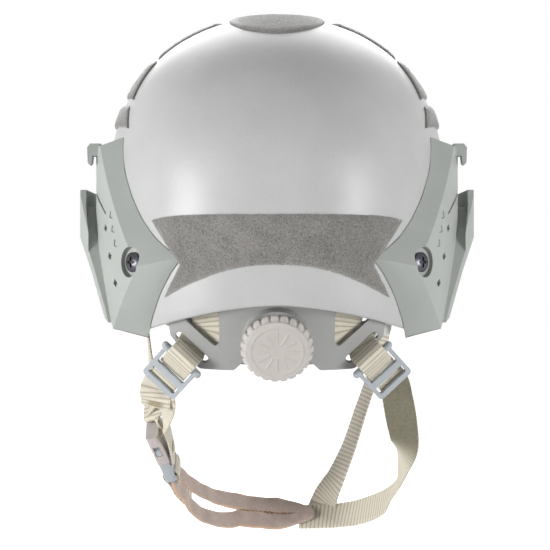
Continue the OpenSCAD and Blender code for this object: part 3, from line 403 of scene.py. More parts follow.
@dataclass(frozen=True)
class Finish:
    """Surface with a broad shift of colour, a fine grain and a bump from the same grain.

    grain_mm is the distance between the grain's spots and bump_mm their height.
    """

    name: str
    dark: str
    light: str
    roughness: float
    grain_mm: float
    bump_mm: float
    ior: float = 1.5
    metallic: float = 0.0
    edge_mm: float = 0.0
    sheen: float = 0.0
    mottle_mm: float = 30.0
    spread: float = 0.12

    def make(self) -> bpy.types.Material:
        """Node material of this finish.

        Returns:
            The material.
        """
        material = bpy.data.materials.new(self.name)
        material.use_nodes = True
        tree = material.node_tree
        shader = tree.nodes["Principled BSDF"]
        place = node(tree, "ShaderNodeTexCoord").outputs["Object"]
        height = self.height(tree, place)
        tree.links.new(self.colour(tree, place, height), shader.inputs["Base Color"])
        shader.inputs["Roughness"].default_value = self.roughness
        shader.inputs["IOR"].default_value = self.ior
        shader.inputs["Metallic"].default_value = self.metallic
        if self.sheen:
            shader.inputs["Sheen Weight"].default_value = self.sheen
            shader.inputs["Sheen Roughness"].default_value = 0.5
        bump = node(tree, "ShaderNodeBump", {
            "Height": height, "Distance": self.bump_mm * MM, "Strength": 1.0
        })
        if self.edge_mm:
            edge = node(tree, "ShaderNodeBevel", {"Radius": self.edge_mm * MM}, samples=4)
            tree.links.new(edge.outputs[0], bump.inputs["Normal"])
        tree.links.new(bump.outputs[0], shader.inputs["Normal"])
        return material

    def height(self, tree: Tree, place: Socket) -> Socket:
        """Fine grain: noise whose spots are grain_mm apart.

        Args:
            tree: the material's node tree.
            place: the Object coordinates.

        Returns:
            The height, from 0 to about 1.
        """
        return node(tree, "ShaderNodeTexNoise", {
            "Vector": place, "Scale": 1 / (self.grain_mm * MM), "Detail": 2.0, "Roughness": 0.6
        }).outputs[0]

    def colour(self, tree: Tree, place: Socket, height: Socket) -> Socket:
        """Broad patches mixed with the grain, between the dark and the light colour.

        Args:
            tree: the material's node tree.
            place: the Object coordinates.
            height: the finish's own height.

        Returns:
            The colour.
        """
        patch = node(tree, "ShaderNodeTexNoise", {
            "Vector": place, "Scale": 1 / (self.mottle_mm * MM), "Detail": 3.0
        }).outputs[0]
        both = node(tree, "ShaderNodeMix", {0: 0.35, 2: height, 3: patch}).outputs[0]
        return ramp(tree, both, [(0.5 - self.spread, self.dark), (0.5 + self.spread, self.light)])


@dataclass(frozen=True)
class LoopPile(Finish):
    """Brushed loop tape: speckle of lit loops over shaded gaps, in two sizes."""

    def height(self, tree: Tree, place: Socket) -> Socket:
        """Loops: cells a grain apart, broken up by noise.

        Args:
            tree: the material's node tree.
            place: the Object coordinates.

        Returns:
            The height.
        """
        cells = node(tree, "ShaderNodeTexVoronoi", {
            "Vector": place, "Scale": 1 / (self.grain_mm * MM)
        }).outputs[0]
        noise = node(tree, "ShaderNodeTexNoise", {
            "Vector": place, "Scale": 0.6 / (self.grain_mm * MM), "Detail": 4.0, "Roughness": 0.7
        }).outputs[0]
        return node(tree, "ShaderNodeMath", {
            0: cells, 1: -0.5, 2: noise
        }, operation="MULTIPLY_ADD").outputs[0]

    def colour(self, tree: Tree, place: Socket, height: Socket) -> Socket:
        """Dark between the loops, light on them.

        Args:
            tree: the material's node tree.
            place: the Object coordinates.
            height: the finish's own height.

        Returns:
            The colour.
        """
        patch = node(tree, "ShaderNodeTexNoise", {"Vector": place, "Scale": 90.0, "Detail": 4.0}).outputs[0]
        both = node(tree, "ShaderNodeMix", {0: 0.3, 2: height, 3: patch}).outputs[0]
        return ramp(tree, both, [(0.1, self.dark), (0.5, self.light)])


# Spots of dust on the webbing, about 2.4 mm apart
PATCH_SCALE = 420.0


@dataclass(frozen=True)
class Webbing(Finish):
    """Woven webbing: ribs across its length with yarns along them, from the piece's UV in metres.

    rib_mm is the distance from rib to rib and yarn_mm from yarn to yarn. A rib's height is the
    size of a sine to the power of 0.4, so the ribs are broad and the grooves narrow.
    """

    rib_mm: float = 2.9
    yarn_mm: float = 0.7
    # Colour of the painted shade in the grooves
    groove: str = "9A937B"

    def wave(self, tree: Tree, axis: Socket, pitch: float) -> Socket:
        """Size of a sine along an axis, with one peak to a pitch in millimetres.

        Args:
            tree: the material's node tree.
            axis: place along an axis, in metres.
            pitch: distance from peak to peak, in millimetres.

        Returns:
            The wave, from 0 to 1.
        """
        turns = node(tree, "ShaderNodeMath", {
            0: axis, 1: np.pi / (pitch * MM)
        }, operation="MULTIPLY").outputs[0]
        sine = node(tree, "ShaderNodeMath", {0: turns}, operation="SINE").outputs[0]
        return node(tree, "ShaderNodeMath", {0: sine}, operation="ABSOLUTE").outputs[0]

    def height(self, tree: Tree, place: Socket) -> Socket:
        """Broad ribs with a share of fine yarns on them.

        Args:
            tree: the material's node tree.
            place: the Object coordinates; not used.

        Returns:
            The height.
        """
        axes = node(tree, "ShaderNodeSeparateXYZ", {0: node(tree, "ShaderNodeUVMap").outputs[0]})
        rib = self.wave(tree, axes.outputs[1], self.rib_mm)
        broad = node(tree, "ShaderNodeMath", {0: rib, 1: 0.4}, operation="POWER").outputs[0]
        yarn = self.wave(tree, axes.outputs[0], self.yarn_mm)
        return node(tree, "ShaderNodeMath", {
            0: yarn, 1: 0.12, 2: broad
        }, operation="MULTIPLY_ADD").outputs[0]

    def colour(self, tree: Tree, place: Socket, height: Socket) -> Socket:
        """Shade in the grooves, yarn colour on the ribs, with a slow change along the strap.

        Args:
            tree: the material's node tree.
            place: the Object coordinates.
            height: the finish's own height.

        Returns:
            The colour.
        """
        patch = node(tree, "ShaderNodeTexNoise", {
            "Vector": place, "Scale": PATCH_SCALE, "Detail": 4.0
        }).outputs[0]
        both = node(tree, "ShaderNodeMix", {0: 0.2, 2: height, 3: patch}).outputs[0]
        return ramp(tree, both, [(0.25, self.groove), (0.55, self.dark), (0.92, self.light)])


@dataclass(frozen=True)
class PaintedShadeWebbing(Webbing):
    """Webbing whose twill, coloured with painted shade, gives way to the plain ribs.

    The change runs between the two lengths of fade_mm. back holds the two colours of the painted shade on
    the twill, and twill_mm is the distance between its slanting lines.
    """

    fade_mm: tuple[float, float] = (60.0, 100.0)
    # The twill's two colours are painted shade
    back: tuple[str, str] = ("5B5747", "8A8571")
    twill_mm: float = 1.1

    def share(self, tree: Tree) -> tuple[Socket, Socket]:
        """Share of the plain ribs, and the height of the twill.

        Args:
            tree: the material's node tree.

        Returns:
            The share, and the twill's height.
        """
        axes = node(tree, "ShaderNodeSeparateXYZ", {0: node(tree, "ShaderNodeUVMap").outputs[0]})
        rib_share = node(tree, "ShaderNodeMapRange", {
            0: axes.outputs[1], 1: self.fade_mm[0] * MM, 2: self.fade_mm[1] * MM
        }, interpolation_type="SMOOTHSTEP").outputs[0]
        slant = node(tree, "ShaderNodeMath", {
            0: axes.outputs[0], 1: axes.outputs[1]
        }, operation="ADD").outputs[0]
        return rib_share, self.wave(tree, slant, self.twill_mm)

    def height(self, tree: Tree, place: Socket) -> Socket:
        """Height of the twill, then of the ribs."""
        rib_share, twill = self.share(tree)
        return node(tree, "ShaderNodeMix", {0: rib_share, 2: twill, 3: super().height(tree, place)}).outputs[0]

    def colour(self, tree: Tree, place: Socket, height: Socket) -> Socket:
        """Painted shade on the twill, then the ribs' own colour.

        Args:
            tree: the material's node tree.
            place: the Object coordinates.
            height: the finish's own height.

        Returns:
            The colour.
        """
        rib_share, twill = self.share(tree)
        patch = node(tree, "ShaderNodeTexNoise", {
            "Vector": place, "Scale": PATCH_SCALE, "Detail": 4.0
        }).outputs[0]
        both = node(tree, "ShaderNodeMix", {0: 0.5, 2: twill, 3: patch}).outputs[0]
        # Painted shade of the twill, from its two dark colours
        painted_shade = ramp(tree, both, [(0.25, self.back[0]), (0.75, self.back[1])])
        ribs = super().colour(tree, place, height)
        return node(tree, "ShaderNodeMix", {0: rib_share, 6: painted_shade, 7: ribs}, data_type="RGBA").outputs[2]


@dataclass(frozen=True)
class Suede(Finish):
    """Napped leather with a painted highlight along its borders, a set distance from the band's middle."""

    # Colour of the painted highlight along the band's borders
    edge: str = "CDA98A"
    highlight_at_mm: float = 5.6

    def colour(self, tree: Tree, place: Socket, height: Socket) -> Socket:
        """Nap, mixed with the painted highlight's colour beside the band's borders.

        Args:
            tree: the material's node tree.
            place: the Object coordinates.
            height: the finish's own height.

        Returns:
            The colour.
        """
        nap = super().colour(tree, place, height)
        across = node(tree, "ShaderNodeSeparateXYZ", {
            0: node(tree, "ShaderNodeUVMap").outputs[0]
        }).outputs[0]
        far = node(tree, "ShaderNodeMath", {0: across}, operation="ABSOLUTE").outputs[0]
        share = node(tree, "ShaderNodeMapRange", {
            0: far, 1: (self.highlight_at_mm - 0.5) * MM, 2: (self.highlight_at_mm + 0.3) * MM, 3: 0.0, 4: 0.8
        }).outputs[0]
        return node(tree, "ShaderNodeMix", {
            0: share, 6: nap, 7: linear(self.edge)
        }, data_type="RGBA").outputs[2]


class Stuff(Enum):
    """The helmet's finishes, named for the material and how it was made."""

    # Injection-moulded nylon, satin, with a faint pearly grain
    SHELL = Finish("moulded_nylon_shell", "B2B3B2", "BDBEBD", 0.42, 0.5, 0.012, edge_mm=0.5)
    # The same nylon from a spark-eroded mould: a slightly greener grey with a fine even grain
    RAIL = Finish("textured_nylon_rail", "A3A7A3", "ADB1AD", 0.55, 0.45, 0.02, edge_mm=0.7)
    # Flexible nylon of the yoke, darker than the shell, satin with soft edges
    CRADLE = Finish("moulded_nylon_cradle", "9E9E9C", "A8A8A6", 0.5, 0.5, 0.015, edge_mm=0.6)
    # Warm grey nylon of the knob, satin, with softly lit edges on its teeth
    KNOB = Finish("moulded_nylon_knob", "B9B4AF", "C3BEB9", 0.5, 0.5, 0.012, edge_mm=0.4)
    # Uncoloured acetal of the toothed arms: milky white and slippery
    ACETAL = Finish("natural_acetal", "D6D6D2", "DEDEDA", 0.45, 0.6, 0.01, ior=1.48, edge_mm=0.2)
    # Acetal of the buckle and of the sliders, polished mould: soft gloss in two greys
    BUCKLE_WARM = Finish("acetal_buckle_warm", "B8AFAD", "C4BBB9", 0.38, 0.6, 0.01, ior=1.48, edge_mm=0.4)
    BUCKLE_COOL = Finish("acetal_buckle_cool", "A6ACB1", "B3B9BD", 0.38, 0.6, 0.01, ior=1.48, edge_mm=0.4)
    # Black-oxided steel: dark, with bright broad highlights
    STEEL = Finish("black_oxide_steel", "3A3A3E", "57575C", 0.28, 0.3, 0.006, metallic=1.0, edge_mm=0.25)
    # Brushed nylon loops, drawn 0.8 mm apart so that they show: dull, pale at grazing angles
    LOOP = LoopPile("brushed_loop_tape", "585754", "928F8B", 0.9, 0.8, 0.3, sheen=1.0)
    # Woven nylon with broad ribs across it: pale ribs, with painted olive shade in the grooves
    WEBBING = Webbing("nylon_webbing", "B3AC97", "DBD4C5", 0.75, 1.0, 0.2, sheen=0.2)
    # Back of the webbing, a twill drawn coarser than its threads, coloured with painted shade
    TWILL_PAINTED_SHADE = PaintedShadeWebbing("nylon_webbing_twill_painted_shade", "B3AC97", "DBD4C5", 0.85, 1.0, 0.15)
    # Split leather, brushed: a mottled nap, with a painted highlight along its borders
    SUEDE = Suede("napped_suede", "A5928A", "C8B5AB", 0.92, 0.7, 0.12, sheen=0.5, mottle_mm=7, spread=0.16)
    # Knitted polyester over foam: black, with a dull sheen
    PAD = Finish("black_knit_cloth", "161617", "2A2A2C", 0.88, 0.6, 0.15, sheen=0.4)
    # Bonded polyester thread: the webbing's bar tacks, and the darker seam of the suede
    THREAD = Finish("polyester_thread", "978C70", "B5AB90", 0.7, 0.3, 0.03, sheen=0.2)
    DARK_THREAD = Finish("dark_bonded_thread", "6B5A45", "85735A", 0.7, 0.3, 0.03, sheen=0.2)
    # Inside of the shell above the rim: matt black, under the pads
    INSIDE = Finish("matt_black_inner_skin", "1D1D1F", "29292B", 0.8, 0.5, 0.02)


class Wardrobe:
    """Makes each finish once and puts it on pieces."""

    def __init__(self) -> None:
        """Starts with no finish made."""
        self.made: dict[Stuff, bpy.types.Material] = {}

    def material(self, stuff: Stuff) -> bpy.types.Material:
        """Material of a finish.

        Args:
            stuff: the finish.

        Returns:
            The material, made on first use.
        """
        if stuff not in self.made:
            self.made[stuff] = stuff.value.make()
        return self.made[stuff]

    def dress(self, piece: Piece, stuff: Stuff) -> Piece:
        """Gives the piece the finish on all of its material slots.

        Args:
            piece: the piece.
            stuff: the finish.

        Returns:
            The same piece.
        """
        if not piece.data.materials:
            piece.data.materials.append(self.material(stuff))
        for slot in piece.material_slots:
            slot.material = self.material(stuff)
        return piece


# Places in the part's own frames, as in the part's source


@dataclass(frozen=True)
class Place:
    """Local frame: where its origin lies, in millimetres, and its three axes as rows."""

    at: tuple[float, float, float]
    axes: Array

    def __call__(self, x: float, y: float, z: float) -> Array:
        """World point of a local one, in millimetres."""
        return np.array(self.at) + np.array([x, y, z]) @ self.axes


def hanging(at: tuple[float, float, float], down: Sequence[float], out: Array) -> Place:
    """Frame with y against down, z along out, and x across."""
    return Place(at, np.stack([np.cross(-np.array(down), out), -np.array(down), out]))


TILT = np.radians(24)
CRADLE = Place((0, -108.6, -47.7), np.array([
    [1, 0, 0], [0, np.cos(TILT), np.sin(TILT)], [0, -np.sin(TILT), np.cos(TILT)]
]))
SLIDER_DOWN = unit([0.59, 0.49, -0.64])
SLIDER = hanging((70, -87.5, -72), SLIDER_DOWN, unit(np.cross(SLIDER_DOWN, [0.72, 0, 0.69])))
BUCKLE_DOWN = unit([0.29, 0.6, -0.745])
BUCKLE = hanging((-76, -9.5, -122.5), BUCKLE_DOWN, unit(np.array([-1, 0, 0]) + BUCKLE_DOWN * BUCKLE_DOWN[0]))


def flow(points: Array, per: int) -> Array:
    """Smooth curve through points with per steps to a span.

    Catmull-Rom: on each span the curve is the cubic through its ends with slopes along the chords
    between the neighbours on each side; the end points stand in for missing neighbours.

    Args:
        points: (n, k) array of knots.
        per: number of steps to a span.

    Returns:
        The points of the curve, ending with the last knot.
    """
    n = len(points)
    i = np.arange(n - 1)
    a, b, c, d = points[np.maximum(i - 1, 0)], points[i], points[i + 1], points[np.minimum(i + 2, n - 1)]
    t = (np.arange(per) / per)[None, :, None]
    a, b, c, d = (v[:, None, :] for v in (a, b, c, d))
    square, cube = 2 * a - 5 * b + 4 * c - d, 3 * b - a - 3 * c + d
    span = 0.5 * (2 * b + (c - a) * t + square * t ** 2 + cube * t ** 3)
    return np.concatenate([span.reshape(-1, points.shape[1]), points[-1:]])


@dataclass(frozen=True)
class Track:
    """Run of a strap: its middle, the unit directions across and through it, and the length run."""

    middle: Array
    across: Array
    through: Array
    run: Array

    def moved(self, side: Array, lift: Array) -> Track:
        """Track shifted by side along across and by lift along through, in millimetres."""
        shift = self.across * np.reshape(side, (-1, 1)) + self.through * np.reshape(lift, (-1, 1))
        return Track(self.middle + shift, self.across, self.through, self.run)

    def at(self, share: float, side: float, lift: float) -> tuple[Array, Array, Array, Array]:
        """Point, and directions along, across and through, at a share of the run.

        Args:
            share: share of the run, from 0 to 1.
            side: distance across the strap.
            lift: distance through the strap.

        Returns:
            The point and the three unit directions.
        """
        i = int(round(share * (len(self.run) - 1)))
        point = self.middle[i] + self.across[i] * side + self.through[i] * lift
        return point, np.cross(self.across[i], self.through[i]), self.across[i], self.through[i]


def track(path: Sequence[tuple[Sequence[float], Sequence[float]]], step: float = 0.36) -> Track:
    """Evenly spaced track along a path of points and directions across it, in millimetres.

    Through is along times across, so along is across times through.

    Args:
        path: points, each with a direction across the strap.
        step: distance from row to row.

    Returns:
        The track.
    """
    knots = np.array([[*p, *w] for p, w in path], dtype=float)
    fine = flow(knots, 60)
    run = np.concatenate([[0], np.cumsum(np.linalg.norm(np.diff(fine[:, :3], axis=0), axis=1))])
    even = np.linspace(0, run[-1], max(8, int(run[-1] / step)))
    both = np.stack([np.interp(even, run, fine[:, k]) for k in range(6)], axis=-1)
    along = unit(np.gradient(both[:, :3], axis=0))
    across = unit(both[:, 3:] - along * np.sum(along * both[:, 3:], axis=1, keepdims=True))
    return Track(both[:, :3], across, np.cross(along, across), even)


@dataclass
class Solid:
    """Points, faces and surface places of one closed form or of several."""

    points: Array
    faces: list
    uv: Array

    def plus(self, other: Solid) -> Solid:
        """Both forms as one.

        Args:
            other: the other form.

        Returns:
            The joined form.
        """
        shift = len(self.points)
        faces = self.faces + [np.asarray(f) + shift for f in other.faces]
        return Solid(np.concatenate([self.points, other.points]), faces, np.concatenate([self.uv, other.uv]))

    def object(self, name: str) -> Piece:
        """Object made of the form, which is in millimetres."""
        return orient(build(name, self.points * MM, self.faces, self.uv * MM))


def oval() -> tuple[Array, Array]:
    """Section of webbing: places across and through, from -1 to 1, of a rectangle with round edges.

    Returns:
        Places across and places through.
    """
    flat = np.linspace(-0.94, 0.94, 9)
    turn = np.radians([-60, 0, 60])
    edge = 1 - 0.06 + 0.06 * np.cos(turn)
    a = np.concatenate([flat, edge, flat[::-1], -edge])
    b = np.concatenate([np.full(9, -1.0), np.sin(turn), np.full(9, 1.0), -np.sin(turn)])
    return a, b


def ribbon(way: Track, width: Array, thick: Array, rib: float = 0.08, pitch: float = 2.9) -> Solid:
    """Flat strap along a track, with grooves of depth rib across it at each pitch.

    Args:
        way: the track of its middle.
        width: its width, one number or one to each row of the track.
        thick: its thickness, likewise.
        rib: depth of the grooves on each side.
        pitch: distance from groove to groove.

    Returns:
        The closed strap.
    """
    a, b = oval()
    rows, n = len(way.middle), len(a)
    half = np.broadcast_to(np.asarray(width, float) / 2, rows)
    high = np.broadcast_to(np.asarray(thick, float) / 2, rows) - rib * np.cos(np.pi * way.run / pitch) ** 6
    points = (way.middle[:, None] + way.across[:, None] * (a * half[:, None])[..., None]
              + way.through[:, None] * (b * high[:, None])[..., None])
    uv = np.stack(np.broadcast_arrays(a * half[:, None], way.run[:, None] + pitch / 2), axis=-1)
    return Solid(points.reshape(-1, 3), capped(rows, n), uv.reshape(-1, 2))


def stitch(at: Array, way: Array, up: Array, length: float, wide: float = 0.55) -> Solid:
    """One stitch: a thread that lies along way and dips at both ends.

    Args:
        at: its middle, in millimetres.
        way: its unit direction.
        up: unit direction out of the cloth.
        length: its length.
        wide: the thread's width.

    Returns:
        A closed form of 34 faces.
    """
    share = np.linspace(-1, 1, 5)
    turn = np.arange(8) * np.pi / 4
    side = np.cross(way, up)
    middle = at + way * (share * length / 2)[:, None] + up * (wide * (0.35 - 0.75 * share ** 4))[:, None]
    size = wide / 2 * np.sqrt(1.05 - share ** 2 * 0.8)
    ring = side * np.cos(turn)[:, None] + up * 0.8 * np.sin(turn)[:, None]
    points = (middle[:, None] + ring[None] * size[:, None, None]).reshape(-1, 3)
    return Solid(points, capped(len(share), len(turn)), np.zeros((len(points), 2)))


def together(forms: Iterable[Solid]) -> Solid:
    """All the forms as one."""
    return reduce(Solid.plus, forms)


def tack(
    point: Array, along: Array, across: Array, up: Array, size: tuple[float, float], count: int
) -> Solid:
    """Bar tack: count threads side by side, leaning by turns, over size across and along.

    Args:
        point: its middle, in millimetres.
        along: the strap's unit direction.
        across: unit direction across the strap.
        up: unit direction out of the cloth.
        size: its width across the strap and its length along it.
        count: number of threads.

    Returns:
        The threads as one form.
    """
    wide, long = size
    return together(
        stitch(point + along * long * ((k + 0.5) / count - 0.5),
               unit(across * wide + along * (-1) ** k * long / count), up, wide)
        for k in range(count)
    )


def mirrored(path: Sequence) -> list:
    """Path seen in the mirror, for the wearer's left."""
    flip = np.array([-1, 1, 1])
    return [(np.asarray(p) * flip, np.asarray(w) * flip) for p, w in path]


# Sub-assemblies


@dataclass
class Shell:
    """Smooth shell with a rounded rim; stands for the faceted CAD shell."""

    columns: int = 240
    skirt_rows: int = 18
    dome_rows: int = 40

    def skin(self, off: float, lift: float) -> Array:
        """Rows of one skin from the rim, raised by lift, to just under the crown's point.

        The skirt's rows share out the height evenly. The dome's follow a quarter sine, so that they
        crowd where the skin turns level.

        Args:
            off: offset from the outer skin, less than 0 inwards.
            lift: height of the first row over the rim.

        Returns:
            A (rows, columns, 3) array.
        """
        a = np.arange(self.columns) * 360 / self.columns
        low = SHELL.rim(a) + lift
        share = (np.arange(self.skirt_rows) / self.skirt_rows)[:, None]
        skirt = SHELL.side(a[None, :], mix(low[None, :], SHELL.widest_z, share), off)
        up = np.sin(np.radians(90 * np.arange(self.dome_rows) / self.dome_rows)) ** (2 / SHELL.dome_n)
        dome = SHELL.side(a[None, :], (SHELL.widest_z + (SHELL.dome_h + off) * up)[:, None], off)
        return np.concatenate([skirt, dome])

    def mesh(self) -> Piece:
        """Closed shell: outer skin down to the rim, a rounded rim, and the inner skin up again.

        Returns:
            The shell.
        """
        outer = self.skin(0, 1.0)
        inner = self.skin(-SHELL.wall, 1.0)
        a = np.arange(self.columns) * 360 / self.columns
        # Rows of the rounded rim: offset from the outer skin and rise over the rim
        rim = [SHELL.side(a, SHELL.rim(a) + rise, off) for off, rise in
               ((-0.3, 0.3), (-1.0, 0.0), (-SHELL.wall + 1.0, 0.0), (-SHELL.wall + 0.3, 0.3))]
        rows = np.concatenate([outer[::-1], np.stack(rim), inner])
        n, k = rows.shape[0], self.columns
        crown_z = SHELL.widest_z + SHELL.dome_h
        tips = np.array([[0, 0, crown_z], [0, 0, crown_z - SHELL.wall]])
        ring = np.arange(k)
        after = (ring + 1) % k
        faces = list(grid_faces(n, k, closed=True))
        faces += list(np.stack([np.full(k, n * k), after, ring], axis=-1))
        faces += list(np.stack([np.full(k, n * k + 1), (n - 1) * k + ring, (n - 1) * k + after], axis=-1))
        return orient(build("shell_skin", np.concatenate([rows.reshape(-1, 3), tips]) * MM, faces))

    def inside(self) -> Array:
        """1 for each face of the inner skin above the rim, else 0.

        Returns:
            Material numbers, one to a face.
        """
        rows = 2 * (self.skirt_rows + self.dome_rows) + 4
        row = np.concatenate([
            np.repeat(np.arange(rows - 1), self.columns), np.zeros(self.columns), np.full(self.columns, rows)
        ])
        return (row > self.skirt_rows + self.dome_rows + 4).astype(np.int32)

    def dress(self, wardrobe: Wardrobe) -> None:
        """Makes the shell and puts it in place of the CAD one.

        Args:
            wardrobe: the finishes.
        """
        piece = wardrobe.dress(self.mesh(), Stuff.SHELL)
        piece.data.materials.append(wardrobe.material(Stuff.INSIDE))
        piece.data.polygons.foreach_set("material_index", self.inside())
        attach(piece, "helmet", "shell_polymer", "shell")


def attach(piece: Piece, body: str, slot: str, *nodes: str) -> Piece:
    """Rides the piece on a body and hides the CAD nodes that it stands for.

    Args:
        piece: the piece.
        body: the body that carries it.
        slot: its material slot in the record; not used.
        nodes: the CAD nodes that it stands for, if any.

    Returns:
        The same piece.
    """
    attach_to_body(piece, body)
    if nodes:
        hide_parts(*nodes)
    LOG.info("%s: %d faces on %s", piece.name, len(piece.data.polygons), body)
    return piece


@dataclass
class LoopTapes:
    """Hook-and-loop panels: plates on the shell with a soft raised pile and frayed edges."""

    thick: float = 2.4
    pitch: float = 0.8
    band_top: float = 29
    band_h: float = 31

    def band(self, u: Array, v: Array, off: Array) -> Array:
        """Band round the rear; its ends follow the rails' rear tips.

        Its upper edge sinks with the sixth power of u and its lower edge with a power of 2.2. Its
        half turn is least at a height of -2 and grows evenly above and below it.

        Args:
            u: place across the piece, from -1 to 1.
            v: place along the piece, from -1 to 1.
            off: offset outwards from the shell's skin, in millimetres.

        Returns:
            Points, in millimetres.
        """
        top = self.band_top - 3 * np.abs(u) ** 6
        low = self.band_top - self.band_h - 20 * np.abs(u) ** 2.2
        z = mix(low, top, (v + 1) / 2)
        turn = 31.2 + np.where(z > -2, 0.41 * (z + 2), 0.4 * (-2 - z))
        return SHELL.side(-90 + turn * u, z, off)

    def crown(self, u: Array, v: Array, off: Array) -> Array:
        """Oval on the crown, from a square grid pressed to a disc."""
        return SHELL.top(31 * u * np.sqrt(1 - v * v / 2), 46 * v * np.sqrt(1 - u * u / 2) - 36, off)

    def front(self, u: Array, v: Array, off: Array) -> Array:
        """Panel forward of the crown, narrower towards the brow.

        Its half width falls with the square of v. Its rear edge steps back beside the crown's oval,
        and its front edge bows by a parabola.

        Args:
            u: place across the piece, from -1 to 1.
            v: place along the piece, from -1 to 1.
            off: offset outwards from the shell's skin, in millimetres.

        Returns:
            Points, in millimetres.
        """
        wide = 78 * (1 - 0.45 * ((v + 1) / 2) ** 2)
        rear = 12 - 32 * smooth((np.abs(u) - 0.42) / 0.12)
        return SHELL.top(wide * u, mix(rear, 92 - 6 * u * u, (v + 1) / 2), off)

    def strip(self, half_turn: float, low: float, high: float, side: int) -> Callable:
        """Strip along one side of the shell between two heights.

        Args:
            half_turn: half of the strip's plan angle, in degrees.
            low: its lower height.
            high: its upper height.
            side: 1 on the right or -1 on the left.

        Returns:
            A function of u, v and off.
        """
        def place(u: Array, v: Array, off: Array) -> Array:
            """Point of the strip; its ends taper and droop.

            Args:
                u: place across the piece, from -1 to 1.
                v: place along the piece, from -1 to 1.
                off: offset outwards from the shell's skin, in millimetres.

            Returns:
                Points, in millimetres.
            """
            turn = half_turn * u * (1 - 0.12 * v)
            p = SHELL.side(turn, mix(low, high, (v + 1) / 2) - 3 * np.abs(u) ** 3, off)
            return p * np.array([side, 1, 1])
        return place

    def panel(self, name: str, place: Callable, length: float, height: float, seed: int) -> Piece:
        """Closed plate on place(u, v, off) with pile of random height and an uneven outline.

        near is a high power of the place across and along: 0 inside and 1 on the outline. The pile
        sinks with it and the outline frays by it.

        Args:
            name: the piece's name.
            place: function of u, v and off that gives its points.
            length: its length.
            height: its height.
            seed: seed of the pile.

        Returns:
            The panel.
        """
        columns, rows = int(length / self.pitch), int(height / self.pitch)
        u, v = np.meshgrid(np.linspace(-1, 1, columns), np.linspace(-1, 1, rows))
        near = np.maximum(np.abs(u) ** (length / 3), np.abs(v) ** (height / 3))
        fray = speckle(rows, columns, seed + 1, 2) * near
        u2, v2 = u * (1 + 0.5 * fray / length), v * (1 + 0.5 * fray / height)
        pile = self.thick - 0.25 + 0.3 * speckle(rows, columns, seed, 0) * (1 - near) - 1.3 * near
        points, faces = slab(place(u2, v2, pile), place(u, v, np.full_like(u, 0.2)))
        return orient(build(name, points * MM, faces))

    def dress(self, wardrobe: Wardrobe) -> None:
        """Makes all the panels.

        Args:
            wardrobe: the finishes.
        """
        rows = [
            ("loop_rear", self.band, 150, 38), ("loop_crown", self.crown, 62, 92),
            ("loop_front", self.front, 150, 82),
            ("loop_side_upper_right", self.strip(21, 108, 133, 1), 105, 30),
            ("loop_side_upper_left", self.strip(21, 108, 133, -1), 105, 30),
            ("loop_side_lower_right", self.strip(26, 88.5, 103, 1), 135, 17),
            ("loop_side_lower_left", self.strip(26, 88.5, 103, -1), 135, 17),
        ]
        for seed, (name, place, length, height) in enumerate(rows):
            piece = self.panel(name + "_pile", place, length, height, 10 * seed + 3)
            attach(wardrobe.dress(piece, Stuff.LOOP), "helmet", "loop_tape", name)


